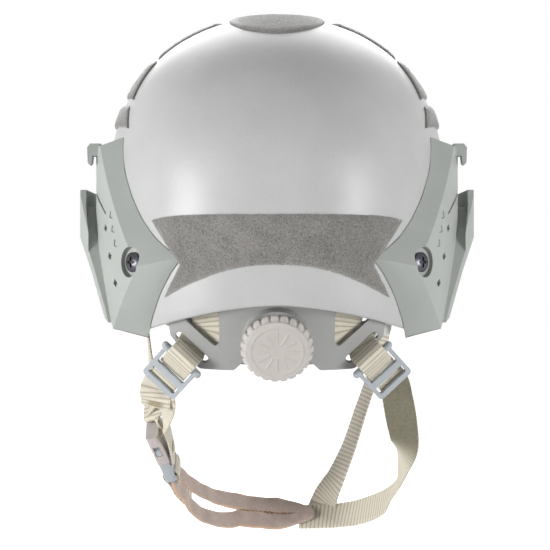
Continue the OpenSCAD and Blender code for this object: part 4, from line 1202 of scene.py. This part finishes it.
@dataclass
class Straps:
    """Chin strap webbing; each strap stands for its CAD solid.

    Each route is a short list of knots, read from the photograph, with a direction across the
    webbing at each. The slider, the buckle and the cradle place the knots that lie on them.
    """

    web_w: float = 20
    web_t: float = 1.4
    slider_t: float = 2.6
    cradle_r: float = 147
    slot_x: float = 53.2
    slot_z: float = -10.6
    slot_slope: float = 41
    bar_lift: float = 3.5
    tack_size: tuple[float, float] = (13, 4.2)
    tack_threads: int = 8

    @property
    def gap(self) -> float:
        """Distance from a surface to the middle of webbing that lies on it."""
        return 0.3 + self.web_t / 2

    def plate_dir(self, x: float, a: float) -> Array:
        """Direction in the cradle's inner face at x, at slope a in degrees.

        Args:
            x: place across the cradle.
            a: slope, in degrees.

        Returns:
            A unit vector.
        """
        lean = np.tan(np.arcsin(x / self.cradle_r))
        c = np.cos(np.radians(a))
        return np.array([c, c * lean, np.sin(np.radians(a))]) @ CRADLE.axes

    def by_slot(self, s: float, depth: float) -> Array:
        """Point s along the webbing's way past the slot, at a depth from the cradle's inner face.

        Args:
            s: distance past the slot, less than 0 before it.
            depth: depth inwards.

        Returns:
            The point, in millimetres.
        """
        x = self.slot_x + s * np.sin(np.radians(self.slot_slope))
        z = self.slot_z - s * np.cos(np.radians(self.slot_slope))
        return CRADLE(x, self.cradle_r + 3 - np.sqrt(self.cradle_r ** 2 - x * x) + depth, z)

    def nape(self) -> list:
        """From inside the shell, behind the cradle, out through its slot and into the slider.

        Returns:
            Points of the path, each with a direction across the webbing.
        """
        off = -SHELL.wall - self.gap
        slot = self.plate_dir(self.slot_x, self.slot_slope)
        web_z = -self.slider_t / 2 - self.gap
        across = SLIDER.axes[0]
        over = self.bar_lift + self.gap - 0.5
        return [
            (SHELL.side(-68, 2, off - 1.6), [0.9, 0.43, 0]),
            (SHELL.side(-68, -4, off - 1.9), [0.9, 0.43, 0]),
            ([45, -117, -12], [0.93, 0.36, 0]), (CRADLE(47, 12.4, 22), self.plate_dir(47, 4)),
            (self.by_slot(-16, 1.6), self.plate_dir(43, 24)), (self.by_slot(-8, 1.6), slot),
            (self.by_slot(-2.2, 1.5), slot), (self.by_slot(0.4, -1.3), slot),
            (self.by_slot(1.2, -4.2), slot), (SLIDER(0, 23, over - 0.4), across),
            (SLIDER(0, 18, over), across), (SLIDER(0, 12.5, 1.6), across),
            (SLIDER(0, 8, web_z + 0.7), across), (SLIDER(0, 5.4, web_z), across)
        ]

    def rear(self) -> list:
        """From the slider round under the ear to the chin.

        Returns:
            Points of the path, each with a direction across the webbing.
        """
        web_z = -self.slider_t / 2 - self.gap
        return [
            (SLIDER(0, 4, web_z - 0.2), SLIDER.axes[0]), (SLIDER(0, -9, web_z - 1.7), SLIDER.axes[0]),
            ([77, -73, -88], [0.93, 0.05, 0.3]), ([80, -61, -102], [1, -0.15, 0.05]),
            ([82.5, -45, -116], [0.85, -0.5, -0.1]), ([82.5, -22, -129], [0.34, -0.8, -0.48]),
            ([81.5, -4, -140], [0.03, -0.62, -0.78]), ([79, 10, -151], [-0.3, -0.62, -0.71]),
            ([72, 26, -162], [-0.1, -0.58, -0.8]), ([58, 46, -170], [0.05, -0.66, -0.75]),
            ([44, 57.5, -173.8], [0, -0.66, -0.75]), ([30, 62.6, -175.3], [0, -0.66, -0.75]),
            ([16, 65.3, -175.8], [0, -0.66, -0.75])
        ]

    def front(self) -> list:
        """From the temple down to the chin.

        Returns:
            Points of the path, each with a direction across the webbing.
        """
        off = -SHELL.wall - 0.9 - self.gap - 1.6
        return [
            (SHELL.side(19, 39, off), [0.28, -0.96, 0]), (SHELL.side(19, 22, off), [0.28, -0.96, 0]),
            ([84, 61, -14], [0.2, -0.97, 0]), ([73.5, 61, -52], [0.3, -0.95, 0]),
            ([65, 60, -81], [0.34, -0.94, 0]), ([57.5, 60, -103], [0.36, -0.93, -0.05]),
            ([50, 60, -126], [0.4, -0.9, -0.1]), ([41, 59, -147], [0.5, -0.8, -0.25]),
            ([36, 63, -157.5], [0.62, -0.68, -0.38]), ([32.5, 69.5, -166.5], [0.8, -0.4, -0.4]),
            ([30.5, 67, -172.8], [0.95, -0.2, -0.2])
        ]

    def rear_left(self) -> list:
        """From the left slider down behind the buckle.

        Returns:
            Points of the path, each with a direction across the webbing.
        """
        return mirrored(self.rear()[:2]) + [
            ([-71, -76, -88], [-0.78, 0.1, 0.6]), ([-72, -58, -97], [-0.45, 0.5, 0.75]),
            ([-73.5, -40, -104], [-0.1, 0.65, 0.75]), ([-70.9, -24, -113], [0, 0.65, 0.75]),
            ([-68.3, -9, -128], [0, 0.7, 0.7])
        ]

    def front_left(self) -> list:
        """From the left temple to the joint above the buckle.

        Returns:
            Points of the path, each with a direction across the webbing.
        """
        return mirrored(self.front()[:2]) + [
            ([-92, 52, 0], [0.05, -0.9, 0.4]), ([-88.5, 34, -40], [0.02, -0.86, 0.5]),
            ([-84.5, 8, -70], [0.12, -0.82, 0.56]), ([-82.8, -17, -89.5], [0.4, -0.72, 0.56]),
            ([-82.3, -26, -97.5], [0.5, -0.6, 0.56])
        ]

    def tail(self) -> list:
        """Short free end that hangs from the left slider.

        Returns:
            Points of the path, each with a direction across the webbing.
        """
        z = -self.slider_t / 2 - self.web_t / 2 - 0.15
        across = SLIDER.axes[0]
        return mirrored([
            (SLIDER(0, 0, -0.6), across), (SLIDER(0, -3, -1.2), across), (SLIDER(0, -7.2, z), across),
            (SLIDER(0, -12, z + 0.4), across), ([77, -78.5, -86], [0.85, 0, 0.5]),
            ([77, -74, -92], [0.9, 0.1, 0.4])
        ])

    def loop(self) -> list:
        """Short loop from the joint to the buckle's bar.

        Returns:
            Points of the path, each with a direction across the webbing.
        """
        across = -BUCKLE.axes[0]
        return [
            ([-80.7, -20, -91], [-0.6, 0.6, 0.2]), (BUCKLE(0, 26, -3.5), [-0.62, 0.6, 0.5]),
            (BUCKLE(0, 21.5, -6.4), [-0.45, 0.68, 0.57]), (BUCKLE(0, 18.6, -6.2), [-0.15, 0.77, 0.62]),
            (BUCKLE(0, 16.8, -4.4), across), (BUCKLE(0, 16.6, -0.5), across)
        ]

    def dress(self, wardrobe: Wardrobe) -> None:
        """Makes every strap.

        Args:
            wardrobe: the finishes.
        """
        rows = [
            ("nape_strap_right", self.nape(), 1.0), ("nape_strap_left", mirrored(self.nape()), 1.0),
            ("rear_strap_right", self.rear(), 1.0), ("rear_strap_left", self.rear_left(), 0.8),
            ("front_strap_right", self.front(), 1.0), ("front_strap_left", self.front_left(), 1.0),
            ("strap_tail", self.tail(), 1.0), ("buckle_loop_strap", self.loop(), 0.8)
        ]
        # Straps with painted shade on one face: the share of the run where it starts, and the side
        painted_shade_runs = {"rear_strap_right": (0.05, 1), "nape_strap_right": (0.87, 1), "nape_strap_left": (0.87, -1)}
        for name, path, share in rows:
            way = track(path)
            piece = ribbon(way, self.web_w * share, self.web_t).object(name + "_webbing")
            wardrobe.dress(piece, Stuff.WEBBING)
            # Second material: the twill in painted shade
            piece.data.materials.append(wardrobe.material(Stuff.TWILL_PAINTED_SHADE))
            if name in painted_shade_runs:
                shown = self.painted_shade_faces(len(way.run), *painted_shade_runs[name])
                piece.data.polygons.foreach_set("material_index", shown)
            attach(piece, "helmet", "webbing", name)
        self.sew(wardrobe)

    def painted_shade_faces(self, rows: int, start: float, side: int) -> Array:
        """1 for the faces in painted shade, on one side from a share of the run on, else 0.

        Args:
            rows: rows of the strap's track.
            start: share of the run where the painted shade starts.
            side: 1 or -1, the side of the strap.

        Returns:
            Material numbers, one to a face.
        """
        high = oval()[1]
        outer = (high + np.roll(high, -1)) / 2 * side > 0.9
        shown = (np.arange(rows - 1) / rows >= start)[:, None] & outer
        return np.concatenate([shown.ravel(), [False, False]]).astype(np.int32)

    def sew(self, wardrobe: Wardrobe) -> None:
        """Bar tacks where webbing is sewn on itself.

        Args:
            wardrobe: the finishes.
        """
        high = self.web_t / 2
        rows = [
            ("tack_nape_right", self.nape(), 0.62), ("tack_nape_left", mirrored(self.nape()), 0.62),
            ("tack_tail", self.tail(), 0.88), ("tack_joint", self.front_left(), 0.96),
            ("tack_joint_rear", self.rear_left(), 0.9)
        ]
        for name, path, share in rows:
            for face, end in ((-1, "_in"), (1, "_out")):
                point, along, across, through = track(path, 1.0).at(share, 0, face * high)
                piece = tack(point, along, across, face * through, self.tack_size, self.tack_threads)
                attach(wardrobe.dress(piece.object(name + end), Stuff.THREAD), "helmet", "webbing")


@dataclass
class ChinCup:
    """Suede chin band, slit along its middle, and the webbing that it is sewn to.

    The two bands meet in a seam and part where the lower one bows away.
    """

    width: float = 26
    thick: float = 2.2
    slit: tuple[float, float] = (0.1, 0.56)
    bow: float = 7.0
    seam_end: float = 0.9
    stitches: int = 24
    stitch_len: float = 2.6
    thread: float = 0.6
    inner_w: float = 18
    inner_t: float = 1.2

    def path(self) -> list:
        """From beside the plug's bar, under the chin, to the right webbing.

        Returns:
            Points of the path, each with a direction across the webbing.
        """
        across = -BUCKLE.axes[0]
        return [
            (BUCKLE(0, -24, 0), across), (BUCKLE(0, -28.5, 0), across), ([-64, 16, -148.5], [0, 0.72, 0.69]),
            ([-50, 34, -160.5], [0, 0.68, 0.73]), ([-26, 54, -170], [0, 0.66, 0.75]),
            ([2, 64, -173.5], [0, 0.66, 0.75]), ([26, 61.5, -173.2], [0, 0.66, 0.75])
        ]

    def band(self, way: Track, side: int) -> Solid:
        """One band of the two, on the upper or the lower side.

        Between the ends of the slit a band parts from the middle by a half sine, most on the lower
        side. Its width starts round, as a circle does, narrows by a half sine beside the slit, and
        runs out to a point. Two slow sines make its surface uneven.

        Args:
            way: track of the cup's middle.
            side: 1 for the upper band, -1 for the lower one.

        Returns:
            The band.
        """
        share = way.run / way.run[-1]
        inside = np.clip((share - self.slit[0]) / (self.slit[1] - self.slit[0]), 0, 1)
        part = np.sin(np.pi * inside) ** 0.8 * (self.bow if side < 0 else 0.4)
        start = np.minimum(1, share / 0.05)
        point = np.minimum(1, (1 - share) / 0.2)
        wide = self.width / 2 * (0.72 + 0.28 * np.sqrt(1 - (1 - start) ** 2)) - 0.08
        wide = wide * (1 - 0.14 * np.sin(np.pi * inside)) * (0.12 + 0.88 * point ** 0.6)
        wave = 0.35 * np.sin(share * 23 + side) + 0.2 * np.sin(share * 57)
        middle = way.moved(side * (wide / 2 + 0.05 + part), wave - 0.12 * part)
        return ribbon(middle, wide, self.thick, rib=0)

    def seam(self, way: Track) -> Solid:
        """Stitches across the seam beyond the slit.

        Args:
            way: track of the cup's middle.

        Returns:
            The stitches as one form.
        """
        made = []
        for k, share in enumerate(np.linspace(self.slit[1] + 0.02, self.seam_end, self.stitches)):
            for face in (-1, 1):
                point, along, across, through = way.at(share, 0, face * (self.thick / 2 - 0.1))
                lean = unit(across + along * 0.5 * (-1) ** k)
                made.append(stitch(point, lean, face * through, self.stitch_len, self.thread))
        return together(made)

    def inner_path(self) -> list:
        """Webbing that loops round the plug's bar and runs into the lower band.

        Returns:
            Points of the path, each with a direction across the webbing.
        """
        across = -BUCKLE.axes[0]
        return [
            (BUCKLE(0, -27, -2.6), across), (BUCKLE(0, -21, -4.9), across), (BUCKLE(0, -16, -4.3), across),
            (BUCKLE(0, -15.9, 0), across), (BUCKLE(0, -16, 4.3), across), (BUCKLE(0, -21, 4.9), across),
            (BUCKLE(0, -27, 2.9), across), ([-66.5, 12, -151], [0, 0.72, 0.69]),
            ([-58, 21.5, -159.5], [0, 0.7, 0.71])
        ]

    def bend(self, piece: Piece) -> None:
        """Bakes the piece's place into its mesh and hides the CAD chin cup that it stands for.

        Args:
            piece: the piece.
        """
        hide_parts("chin_cup")
        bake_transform(piece)
        LOG.info("%s: %d faces between helmet and plug", piece.name, len(piece.data.polygons))

    def dress(self, wardrobe: Wardrobe) -> None:
        """Makes the bands, the seam and the inner webbing.

        Args:
            wardrobe: the finishes.
        """
        way = track(self.path(), 0.8)
        bands = self.band(way, 1).plus(self.band(way, -1)).object("chin_bands_suede")
        self.bend(wardrobe.dress(bands, Stuff.SUEDE))
        self.bend(wardrobe.dress(self.seam(way).object("chin_seam"), Stuff.DARK_THREAD))
        inner = ribbon(track(self.inner_path()), self.inner_w, self.inner_t).object("chin_webbing")
        self.bend(wardrobe.dress(inner, Stuff.WEBBING))


@dataclass
class Knob:
    """Dial knob: a flat face with a raised ring and ticks, and a flared rim cut into teeth.

    It is a lathed profile whose radius drops in the notches between the teeth.
    """

    radius: float = 22.5
    teeth: int = 23
    steps: int = 16
    back_y: float = -8.9
    face_y: float = -18.9
    notch_depth: float = 1.25
    face_rows: int = 44
    ring_r: float = 16.2
    ring_h: float = 0.45
    ticks: int = 12
    tick_h: float = 0.4
    tick_half_w: float = 0.75
    tick_span: tuple[float, float] = (4.5, 14.2)

    def profile(self) -> Array:
        """Rows of radius, place along the axis and share of the notch, from the back to the face.

        Returns:
            A (rows, 3) array.
        """
        r = self.radius
        rim = self.back_y - 3.4
        return np.array([
            [4, self.back_y, 0], [r - 3.6, self.back_y, 0], [r - 2.9, self.back_y - 0.3, 0],
            [r - 2.6, rim + 0.6, 0], [r - 0.8, rim, 1], [r, rim - 0.6, 1], [r, rim - 2.0, 1],
            [r - 0.3, rim - 2.7, 1], [r - 1.1, rim - 3.7, 0.9], [r - 1.9, rim - 4.6, 0.6],
            [r - 2.3, rim - 5.2, 0.1], [r - 2.5, rim - 5.6, 0], [r - 2.7, self.face_y + 0.4, 0],
            [r - 3.1, self.face_y + 0.1, 0], [r - 3.7, self.face_y, 0]
        ])

    def mesh(self) -> Solid:
        """Closed knob; the face's relief is a ring near its edge and twelve ticks inside it.

        The ring is a bell curve of the radius. A tick rises by a smooth step of the distance beside
        it, between two radii. A notch is a smooth step of the turn within a tooth.

        Returns:
            The knob.
        """
        n = self.teeth * self.steps
        turn = np.arange(n) * 2 * np.pi / n
        phase = (np.arange(n) / self.steps) % 1
        notch = smooth((0.22 - np.abs(phase - 0.5)) / 0.13)
        side = flow(self.profile(), 4)
        inner = np.linspace(self.radius - 3.8, 0.4, self.face_rows)
        face = np.stack([inner, np.full_like(inner, self.face_y), np.zeros_like(inner)], axis=-1)
        rows = np.concatenate([side, face])
        radius = rows[:, :1] - self.notch_depth * np.clip(rows[:, 2:], 0, 1) * notch
        sector = 360 / self.ticks
        beside = np.abs((np.degrees(turn) / sector + 0.5) % 1 - 0.5) * np.radians(sector) * radius
        relief = self.ring_h * np.exp(-((radius - self.ring_r) / 0.5) ** 2)
        spoke = smooth((radius - self.tick_span[0]) / 1.5) * smooth((self.tick_span[1] - radius) / 1.5)
        relief = relief + self.tick_h * smooth((self.tick_half_w - beside) / 0.5) * spoke
        relief[: len(side)] = 0
        y = rows[:, 1:2] - relief
        local = np.stack(np.broadcast_arrays(radius * np.cos(turn), y, radius * np.sin(turn)), axis=-1)
        points = np.array(CRADLE.at) + local.reshape(-1, 3) @ CRADLE.axes
        return Solid(points, capped(len(rows), n), np.zeros((len(points), 2)))

    def dress(self, wardrobe: Wardrobe) -> None:
        """Makes the knob and puts it in place of the CAD one."""
        piece = wardrobe.dress(self.mesh().object("dial_knob_moulded"), Stuff.KNOB)
        attach(piece, "dial", "knob_polymer", "dial_knob")


@dataclass
class BossEnds:
    """Closed ends of the cradle's screw bosses, flush with its outer face."""

    places: tuple[tuple[float, float], ...] = ((-30, 20), (30, 20), (-30, -17), (30, -17))
    radius: float = 1.36
    depth: float = 1.2
    face_r: float = 150
    sides: int = 24

    def mesh(self) -> Solid:
        """Short cylinders along the face's normal.

        Returns:
            The four ends as one form.
        """
        made = []
        turn = np.arange(self.sides) * 2 * np.pi / self.sides
        rows = [
            (0.0, 0.03), (self.radius - 0.1, 0.03), (self.radius, 0.01), (self.radius, -self.depth),
            (0.0, -self.depth)
        ]
        for x, z in self.places:
            slope = np.arcsin(x / self.face_r)
            out = np.array([np.sin(slope), -np.cos(slope), 0])
            side = np.array([np.cos(slope), np.sin(slope), 0])
            middle = np.array([x, self.face_r * (1 - np.cos(slope)), z])
            ring = side * np.cos(turn)[:, None] + np.array([0, 0, 1]) * np.sin(turn)[:, None]
            local = np.concatenate([middle + ring * max(r, 0.01) + out * h for r, h in rows])
            points = np.array(CRADLE.at) + local @ CRADLE.axes
            made.append(Solid(points, capped(len(rows), self.sides), np.zeros((len(points), 2))))
        return together(made)

    def dress(self, wardrobe: Wardrobe) -> None:
        """Makes the four ends in the cradle's plastic."""
        attach(wardrobe.dress(self.mesh().object("boss_ends"), Stuff.CRADLE), "helmet", "cradle_polymer")


@dataclass
class Liner:
    """Padded liner: crowned cushions on the shell's inside, and the nape pad."""

    thick: float = 18
    gap: float = 4.3
    nape_r: float = 110
    nape_half: tuple[float, float] = (42, 21.5)

    def cushion(self, name: str, place: Callable, gap: float, thick: float) -> Piece:
        """Closed pad: its back on what holds it, its face crowned and drawn in to a seam.

        The face sinks by 70 % with the sixth power of the distance to a rounded square's edge.

        Args:
            name: the piece's name.
            place: function of u, v and off that gives its points.
            gap: distance from the skin to its back.
            thick: its thickness in the middle.

        Returns:
            The pad.
        """
        u, v = np.meshgrid(np.linspace(-1, 1, 26), np.linspace(-1, 1, 20))
        edge = (np.abs(u) ** 8 + np.abs(v) ** 8) ** (1 / 8)
        back = place(u, v, np.full_like(u, -gap))
        face = place(u, v, -gap - thick * (1 - 0.7 * np.minimum(edge, 1) ** 6))
        points, faces = slab(back, face)
        piece = orient(build(name, points * MM, faces))
        finer(piece, 1)
        return piece

    def dress(self, wardrobe: Wardrobe) -> None:
        """Makes the pads.

        Args:
            wardrobe: the finishes.
        """
        def pad(turn: float, half_turn: float, low: float, high: float, sign: int = 1) -> Callable:
            """Place of a pad about a plan angle, between two heights; sign -1 puts it on the left."""
            flip = np.array([sign, 1, 1])
            return lambda u, v, off: flip * SHELL.side(
                turn + half_turn * u, mix(low, high, (v + 1) / 2), off)

        def crown(u: Array, v: Array, off: Array) -> Array:
            """Oval pad under the crown, from a square grid pressed to a disc."""
            return SHELL.top(52 * u * np.sqrt(1 - v * v / 2), 58 * v * np.sqrt(1 - u * u / 2), off)

        def nape(u: Array, v: Array, off: Array) -> Array:
            """Pad over the cradle's cover, on an arc of radius nape_r about the nape.

            Args:
                u: place across the piece, from -1 to 1.
                v: place along the piece, from -1 to 1.
                off: offset outwards from the shell's skin, in millimetres.

            Returns:
                Points, in millimetres.
            """
            x = self.nape_half[0] * u * (1 - 0.05 * v)
            y = self.nape_r + 15.9 - np.sqrt((self.nape_r + off) ** 2 - x ** 2)
            return np.array(CRADLE.at) + np.stack([x, y, 1.5 + self.nape_half[1] * v], axis=-1) @ CRADLE.axes

        rows = [
            ("pad_crown", crown, self.gap, self.thick),
            ("pad_front", pad(90, 32, 8, 48), self.gap + 2, self.thick),
            ("pad_side_right", pad(0, 28, 52, 92), self.gap, self.thick),
            ("pad_side_left", pad(0, 28, 52, 92, -1), self.gap, self.thick),
            ("pad_rear_right", pad(-66, 20, 5, 64), self.gap, self.thick),
            ("pad_rear_left", pad(-66, 20, 5, 64, -1), self.gap, self.thick),
            ("nape_pad", nape, 0.2, 7)
        ]
        for name, place, gap, thick in rows:
            piece = self.cushion(name + "_cushion", place, gap, thick)
            attach(wardrobe.dress(piece, Stuff.PAD), "helmet", "liner_foam", name)


@dataclass
class CadFinishes:
    """Finishes for the CAD nodes that keep their own solids."""

    slots: dict[str, Stuff] = field(default_factory=lambda: {
        "rail_polymer": Stuff.RAIL, "dark_steel": Stuff.STEEL, "cradle_polymer": Stuff.CRADLE,
        "knob_polymer": Stuff.KNOB, "band_acetal": Stuff.ACETAL, "buckle_polymer_warm": Stuff.BUCKLE_WARM,
        "buckle_polymer_cool": Stuff.BUCKLE_COOL, "liner_foam": Stuff.PAD, "webbing": Stuff.WEBBING,
        "shell_polymer": Stuff.SHELL, "loop_tape": Stuff.LOOP, "suede": Stuff.SUEDE
    })

    def dress(self, frame: dict, wardrobe: Wardrobe) -> None:
        """Puts on each node the finish of its record slot.

        Args:
            frame: the loaded frame.
            wardrobe: the finishes.
        """
        for row in frame["record"]["subparts"]:
            wardrobe.dress(frame["nodes"][row["node"]], self.slots[row["material_slot"]])


# Studio


@dataclass
class Studio:
    """Camera of the photograph, pale floor and soft lamps.

    Places are in metres. Each lamp is a row of its name, place, width and height, and watts.
    """

    distance: float = 1.6
    eye_z: float = -0.008
    focal_px: float = 2400
    image_px: float = 550
    middle_px: float = 277
    floor_z: float = -0.32
    floor_half: float = 12.0
    floor_glow: float = 0.9
    floor_paint: str = "D2D2D2"
    world_light: float = 0.26
    sensor_mm: float = 36
    lamps: tuple[tuple, ...] = (
        ("left_box", (-1.54, -0.8, -0.38), (0.6, 1.0), 62),
        ("right_box", (1.42, -1.02, -0.3), (0.5, 1.0), 35),
        ("front_box", (0, 1.6, 1.2), (1.6, 1.6), 38)
    )

    def camera(self) -> None:
        """Camera straight behind the helmet, level with the nape."""
        data = bpy.data.cameras.new("camera")
        data.sensor_width = self.sensor_mm
        data.lens = self.sensor_mm * self.focal_px / self.image_px
        data.shift_x = (self.image_px / 2 - self.middle_px) / self.image_px
        data.clip_end = 50
        made = bpy.data.objects.new("camera", data)
        made.location = (0, -self.distance, self.eye_z)
        made.rotation_euler = (np.pi / 2, 0, 0)
        bpy.context.scene.collection.objects.link(made)
        bpy.context.scene.camera = made

    def lamp(self, name: str, at: Sequence[float], size: tuple[float, float], watts: float) -> None:
        """Soft rectangular lamp at a place, turned to the helmet.

        Args:
            name: the lamp's name.
            at: its place, in metres.
            size: its width and height, in metres.
            watts: its power.
        """
        data = bpy.data.lights.new(name, "AREA")
        data.shape = "RECTANGLE"
        data.size, data.size_y = size
        data.energy = watts
        made = bpy.data.objects.new(name, data)
        made.location = at
        aim = unit(-np.asarray(at, dtype=float))
        flat = float(np.hypot(aim[0], aim[1]))
        pitch, turn = float(np.arctan2(aim[2], flat)), float(np.arctan2(-aim[0], aim[1]))
        made.rotation_euler = (np.pi / 2 + pitch, 0, turn)
        bpy.context.scene.collection.objects.link(made)

    def seen(self, tree: Tree) -> Socket:
        """1 for camera, glossy and transmission rays, else 0.

        Args:
            tree: the node tree.

        Returns:
            The share.
        """
        rays = node(tree, "ShaderNodeLightPath").outputs
        share = rays["Is Camera Ray"]
        for ray in ("Is Glossy Ray", "Is Transmission Ray"):
            share = node(tree, "ShaderNodeMath", {0: share, 1: rays[ray]}, operation="MAXIMUM").outputs[0]
        return share

    def world(self) -> None:
        """White surroundings that light the helmet evenly."""
        made = bpy.data.worlds.new("studio")
        bpy.context.scene.world = made
        made.use_nodes = True
        tree = made.node_tree
        lit = tree.nodes["Background"]
        lit.inputs[0].default_value = (1, 1, 1, 1)
        lit.inputs[1].default_value = self.world_light
        plain = node(tree, "ShaderNodeBackground", {0: (1, 1, 1, 1), 1: 1.0})
        both = node(tree, "ShaderNodeMixShader", {
            0: self.seen(tree), 1: lit.outputs[0], 2: plain.outputs[0]
        })
        tree.links.new(both.outputs[0], tree.nodes["World Output"].inputs[0])

    def floor(self) -> None:
        """Wide pale floor that keeps the shadow."""
        half = self.floor_half
        corners = np.array([[-half, -half, 0], [half, -half, 0], [half, half, 0], [-half, half, 0]])
        made = build("floor", corners + np.array([0, 0, self.floor_z]), [[0, 1, 2, 3]])
        material = bpy.data.materials.new("pale_floor")
        material.use_nodes = True
        tree = material.node_tree
        paint = tree.nodes["Principled BSDF"]
        paint.inputs["Base Color"].default_value = linear(self.floor_paint)
        paint.inputs["Roughness"].default_value = 0.9
        glow = node(tree, "ShaderNodeEmission", {0: (1, 1, 1, 1), 1: self.floor_glow})
        off = node(tree, "ShaderNodeEmission", {1: 0.0})
        seen = node(tree, "ShaderNodeMixShader", {0: self.seen(tree), 1: off.outputs[0], 2: glow.outputs[0]})
        both = node(tree, "ShaderNodeAddShader", {0: paint.outputs[0], 1: seen.outputs[0]})
        tree.links.new(both.outputs[0], tree.nodes["Material Output"].inputs[0])
        made.data.materials.append(material)

    def dress(self) -> None:
        """Sets the whole studio up."""
        self.camera()
        self.world()
        self.floor()
        for row in self.lamps:
            self.lamp(*row)
        bpy.context.scene.view_settings.view_transform = "Standard"


def main() -> None:
    """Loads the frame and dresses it."""
    logging.basicConfig(level=logging.INFO, format="%(name)s: %(message)s")
    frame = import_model()
    Studio().dress()
    wardrobe = Wardrobe()
    CadFinishes().dress(frame, wardrobe)
    for part in (Shell(), LoopTapes(), Straps(), ChinCup(), Knob(), BossEnds(), Liner()):
        part.dress(wardrobe)


if __name__ == "__main__":
    main()
